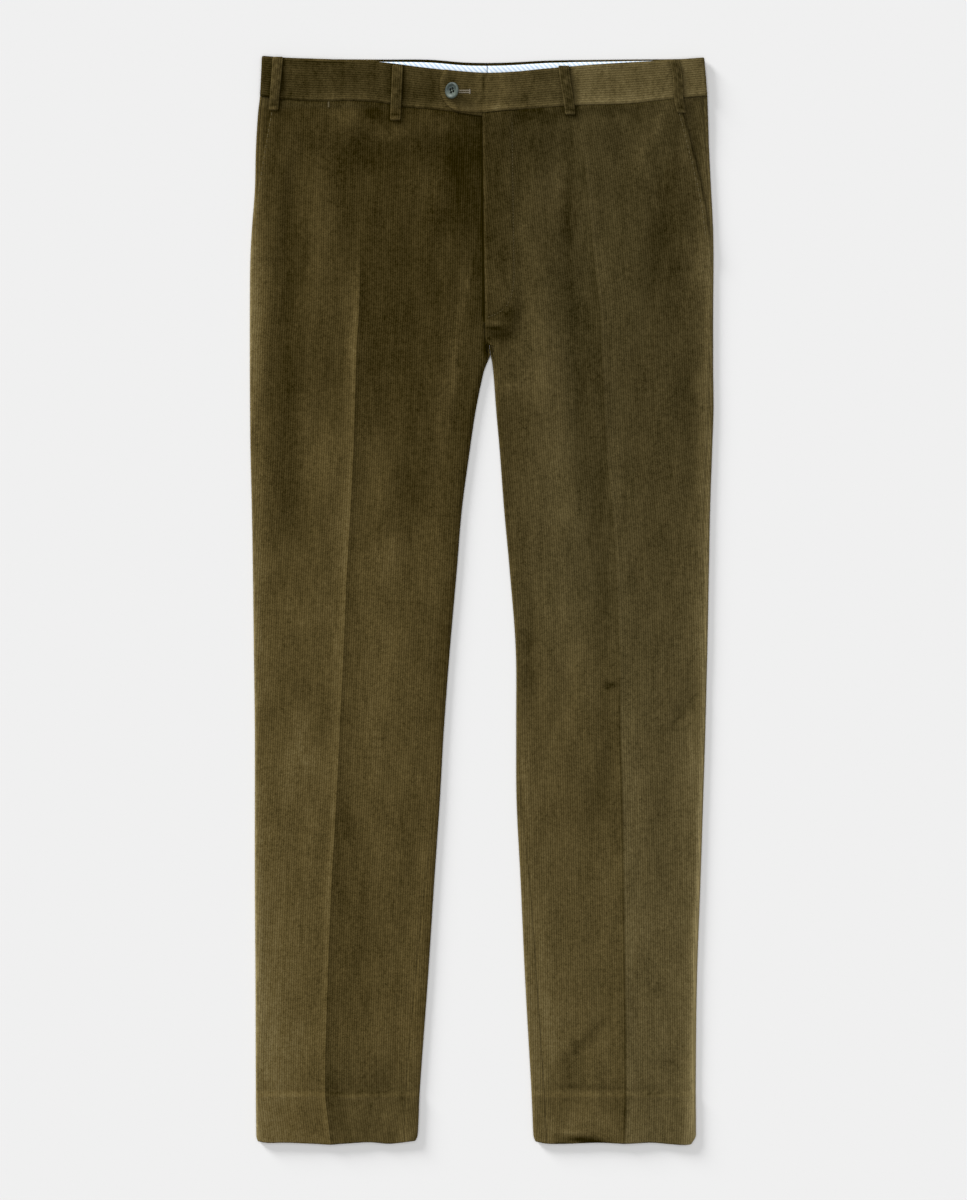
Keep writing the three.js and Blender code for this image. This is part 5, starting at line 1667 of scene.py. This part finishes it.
for leg_name, leg in LEGS.items():
    back = finish_piece(back_panel(leg), cloth_material, "corduroy", f"back_{leg_name}")
    front = finish_piece(front_panel(leg), cloth_material, "corduroy", f"front_{leg_name}")
    facing = pocket_facing(leg)
    finish_piece(facing, cloth_material, "corduroy", f"pocket_facing_{leg_name}")
    band = finish_piece(waistband(leg), cloth_material, "corduroy", f"waistband_{leg_name}")
    lining = waist_lining(leg)
    finish_piece(lining, lining_material, "waist_lining", f"waistband_lining_{leg_name}")
    finish_piece(pocket_stitches(leg), gold_thread, "thread")

for loop_name, loop in FRONT_LOOPS.items():
    piece = finish_piece(front_loop(loop_name, loop), cloth_material, "corduroy", loop_name)

for loop_name, loop_x in BACK_LOOPS.items():
    piece = back_loop(loop_name, loop_x)
    finish_piece(piece, cloth_material, "corduroy", f"belt_loop_back_{loop_name}")

finish_piece(button(), button_material, "button", "button")
finish_piece(fly_stitches(), gold_thread, "thread")
finish_piece(buttonhole(), pale_thread, "thread")
finish_piece(bar_tack(), gold_thread, "thread")

shank = bpy.data.objects["button_shank"]
shank.data.materials.clear()
shank.data.materials.append(brown_thread)

# Floor, light and camera. The floor shows at an even light grey in the photo, with soft shadows
# to the right of the garment and below it.

FLOOR_HALF = 3.0
FLOOR_LEVEL = -0.0001
FLOOR_COLOUR = (0.8, 0.8, 0.8, 1)
floor_mesh = bpy.data.meshes.new("floor")
floor_corners = [(-1, -1), (1, -1), (1, 1), (-1, 1)]
floor_points = [(x * FLOOR_HALF, y * FLOOR_HALF, FLOOR_LEVEL) for x, y in floor_corners]
floor_mesh.from_pydata(floor_points, [], [(0, 1, 2, 3)])
floor = bpy.data.objects.new("floor", floor_mesh)
bpy.context.scene.collection.objects.link(floor)
floor_nodes = Nodes("pale_floor")
floor_nodes.set(Base_Color=FLOOR_COLOUR, Roughness=1.0, Specular_IOR_Level=0.0)
floor_mesh.materials.append(floor_nodes.material)

# The light that the floor gets from each source, as a radiance of a white surface
FLOOR_LIGHT = 1.089
KEY_SHARE = 0.30
TOP_SHARE = 0.52
KEY_ELEVATION = math.radians(15.5)
KEY_AZIMUTH = math.radians(45)
KEY_SOFTNESS = math.radians(19)
TOP_SOFTNESS = math.radians(60)


def far_light(name, share, elevation, azimuth, softness):
    """A soft far light that gives the floor its share of the light."""
    light = bpy.data.lights.new(name, "SUN")
    light.energy = share * FLOOR_LIGHT * math.pi / math.sin(elevation)
    light.angle = softness
    lamp = bpy.data.objects.new(name, light)
    lamp.rotation_euler = (math.pi / 2 - elevation, 0, math.pi + azimuth)
    bpy.context.scene.collection.objects.link(lamp)


far_light("studio_key", KEY_SHARE, KEY_ELEVATION, KEY_AZIMUTH, KEY_SOFTNESS)
far_light("studio_top", TOP_SHARE, math.pi / 2, 0, TOP_SOFTNESS)
WORLD_STRENGTH = (1 - KEY_SHARE - TOP_SHARE) * FLOOR_LIGHT

world = bpy.data.worlds.new("studio")
world.use_nodes = True
world.node_tree.nodes["Background"].inputs["Color"].default_value = (1, 1, 1, 1)
world.node_tree.nodes["Background"].inputs["Strength"].default_value = WORLD_STRENGTH
bpy.context.scene.world = world
bpy.context.scene.view_settings.view_transform = "Standard"

CAMERA_HEIGHT = 4.0
SENSOR_WIDTH = 36
FRAME_LENGTH = 1.2
CAMERA_X = 1.5
camera_data = bpy.data.cameras.new("camera")
camera_data.sensor_width = SENSOR_WIDTH
camera_data.lens = SENSOR_WIDTH * CAMERA_HEIGHT / FRAME_LENGTH
camera_data.clip_end = 20
camera = bpy.data.objects.new("camera", camera_data)
camera.location = (*in_frame(CAMERA_X, 0, 0)[:2], CAMERA_HEIGHT)
bpy.context.scene.collection.objects.link(camera)
bpy.context.scene.camera = camera
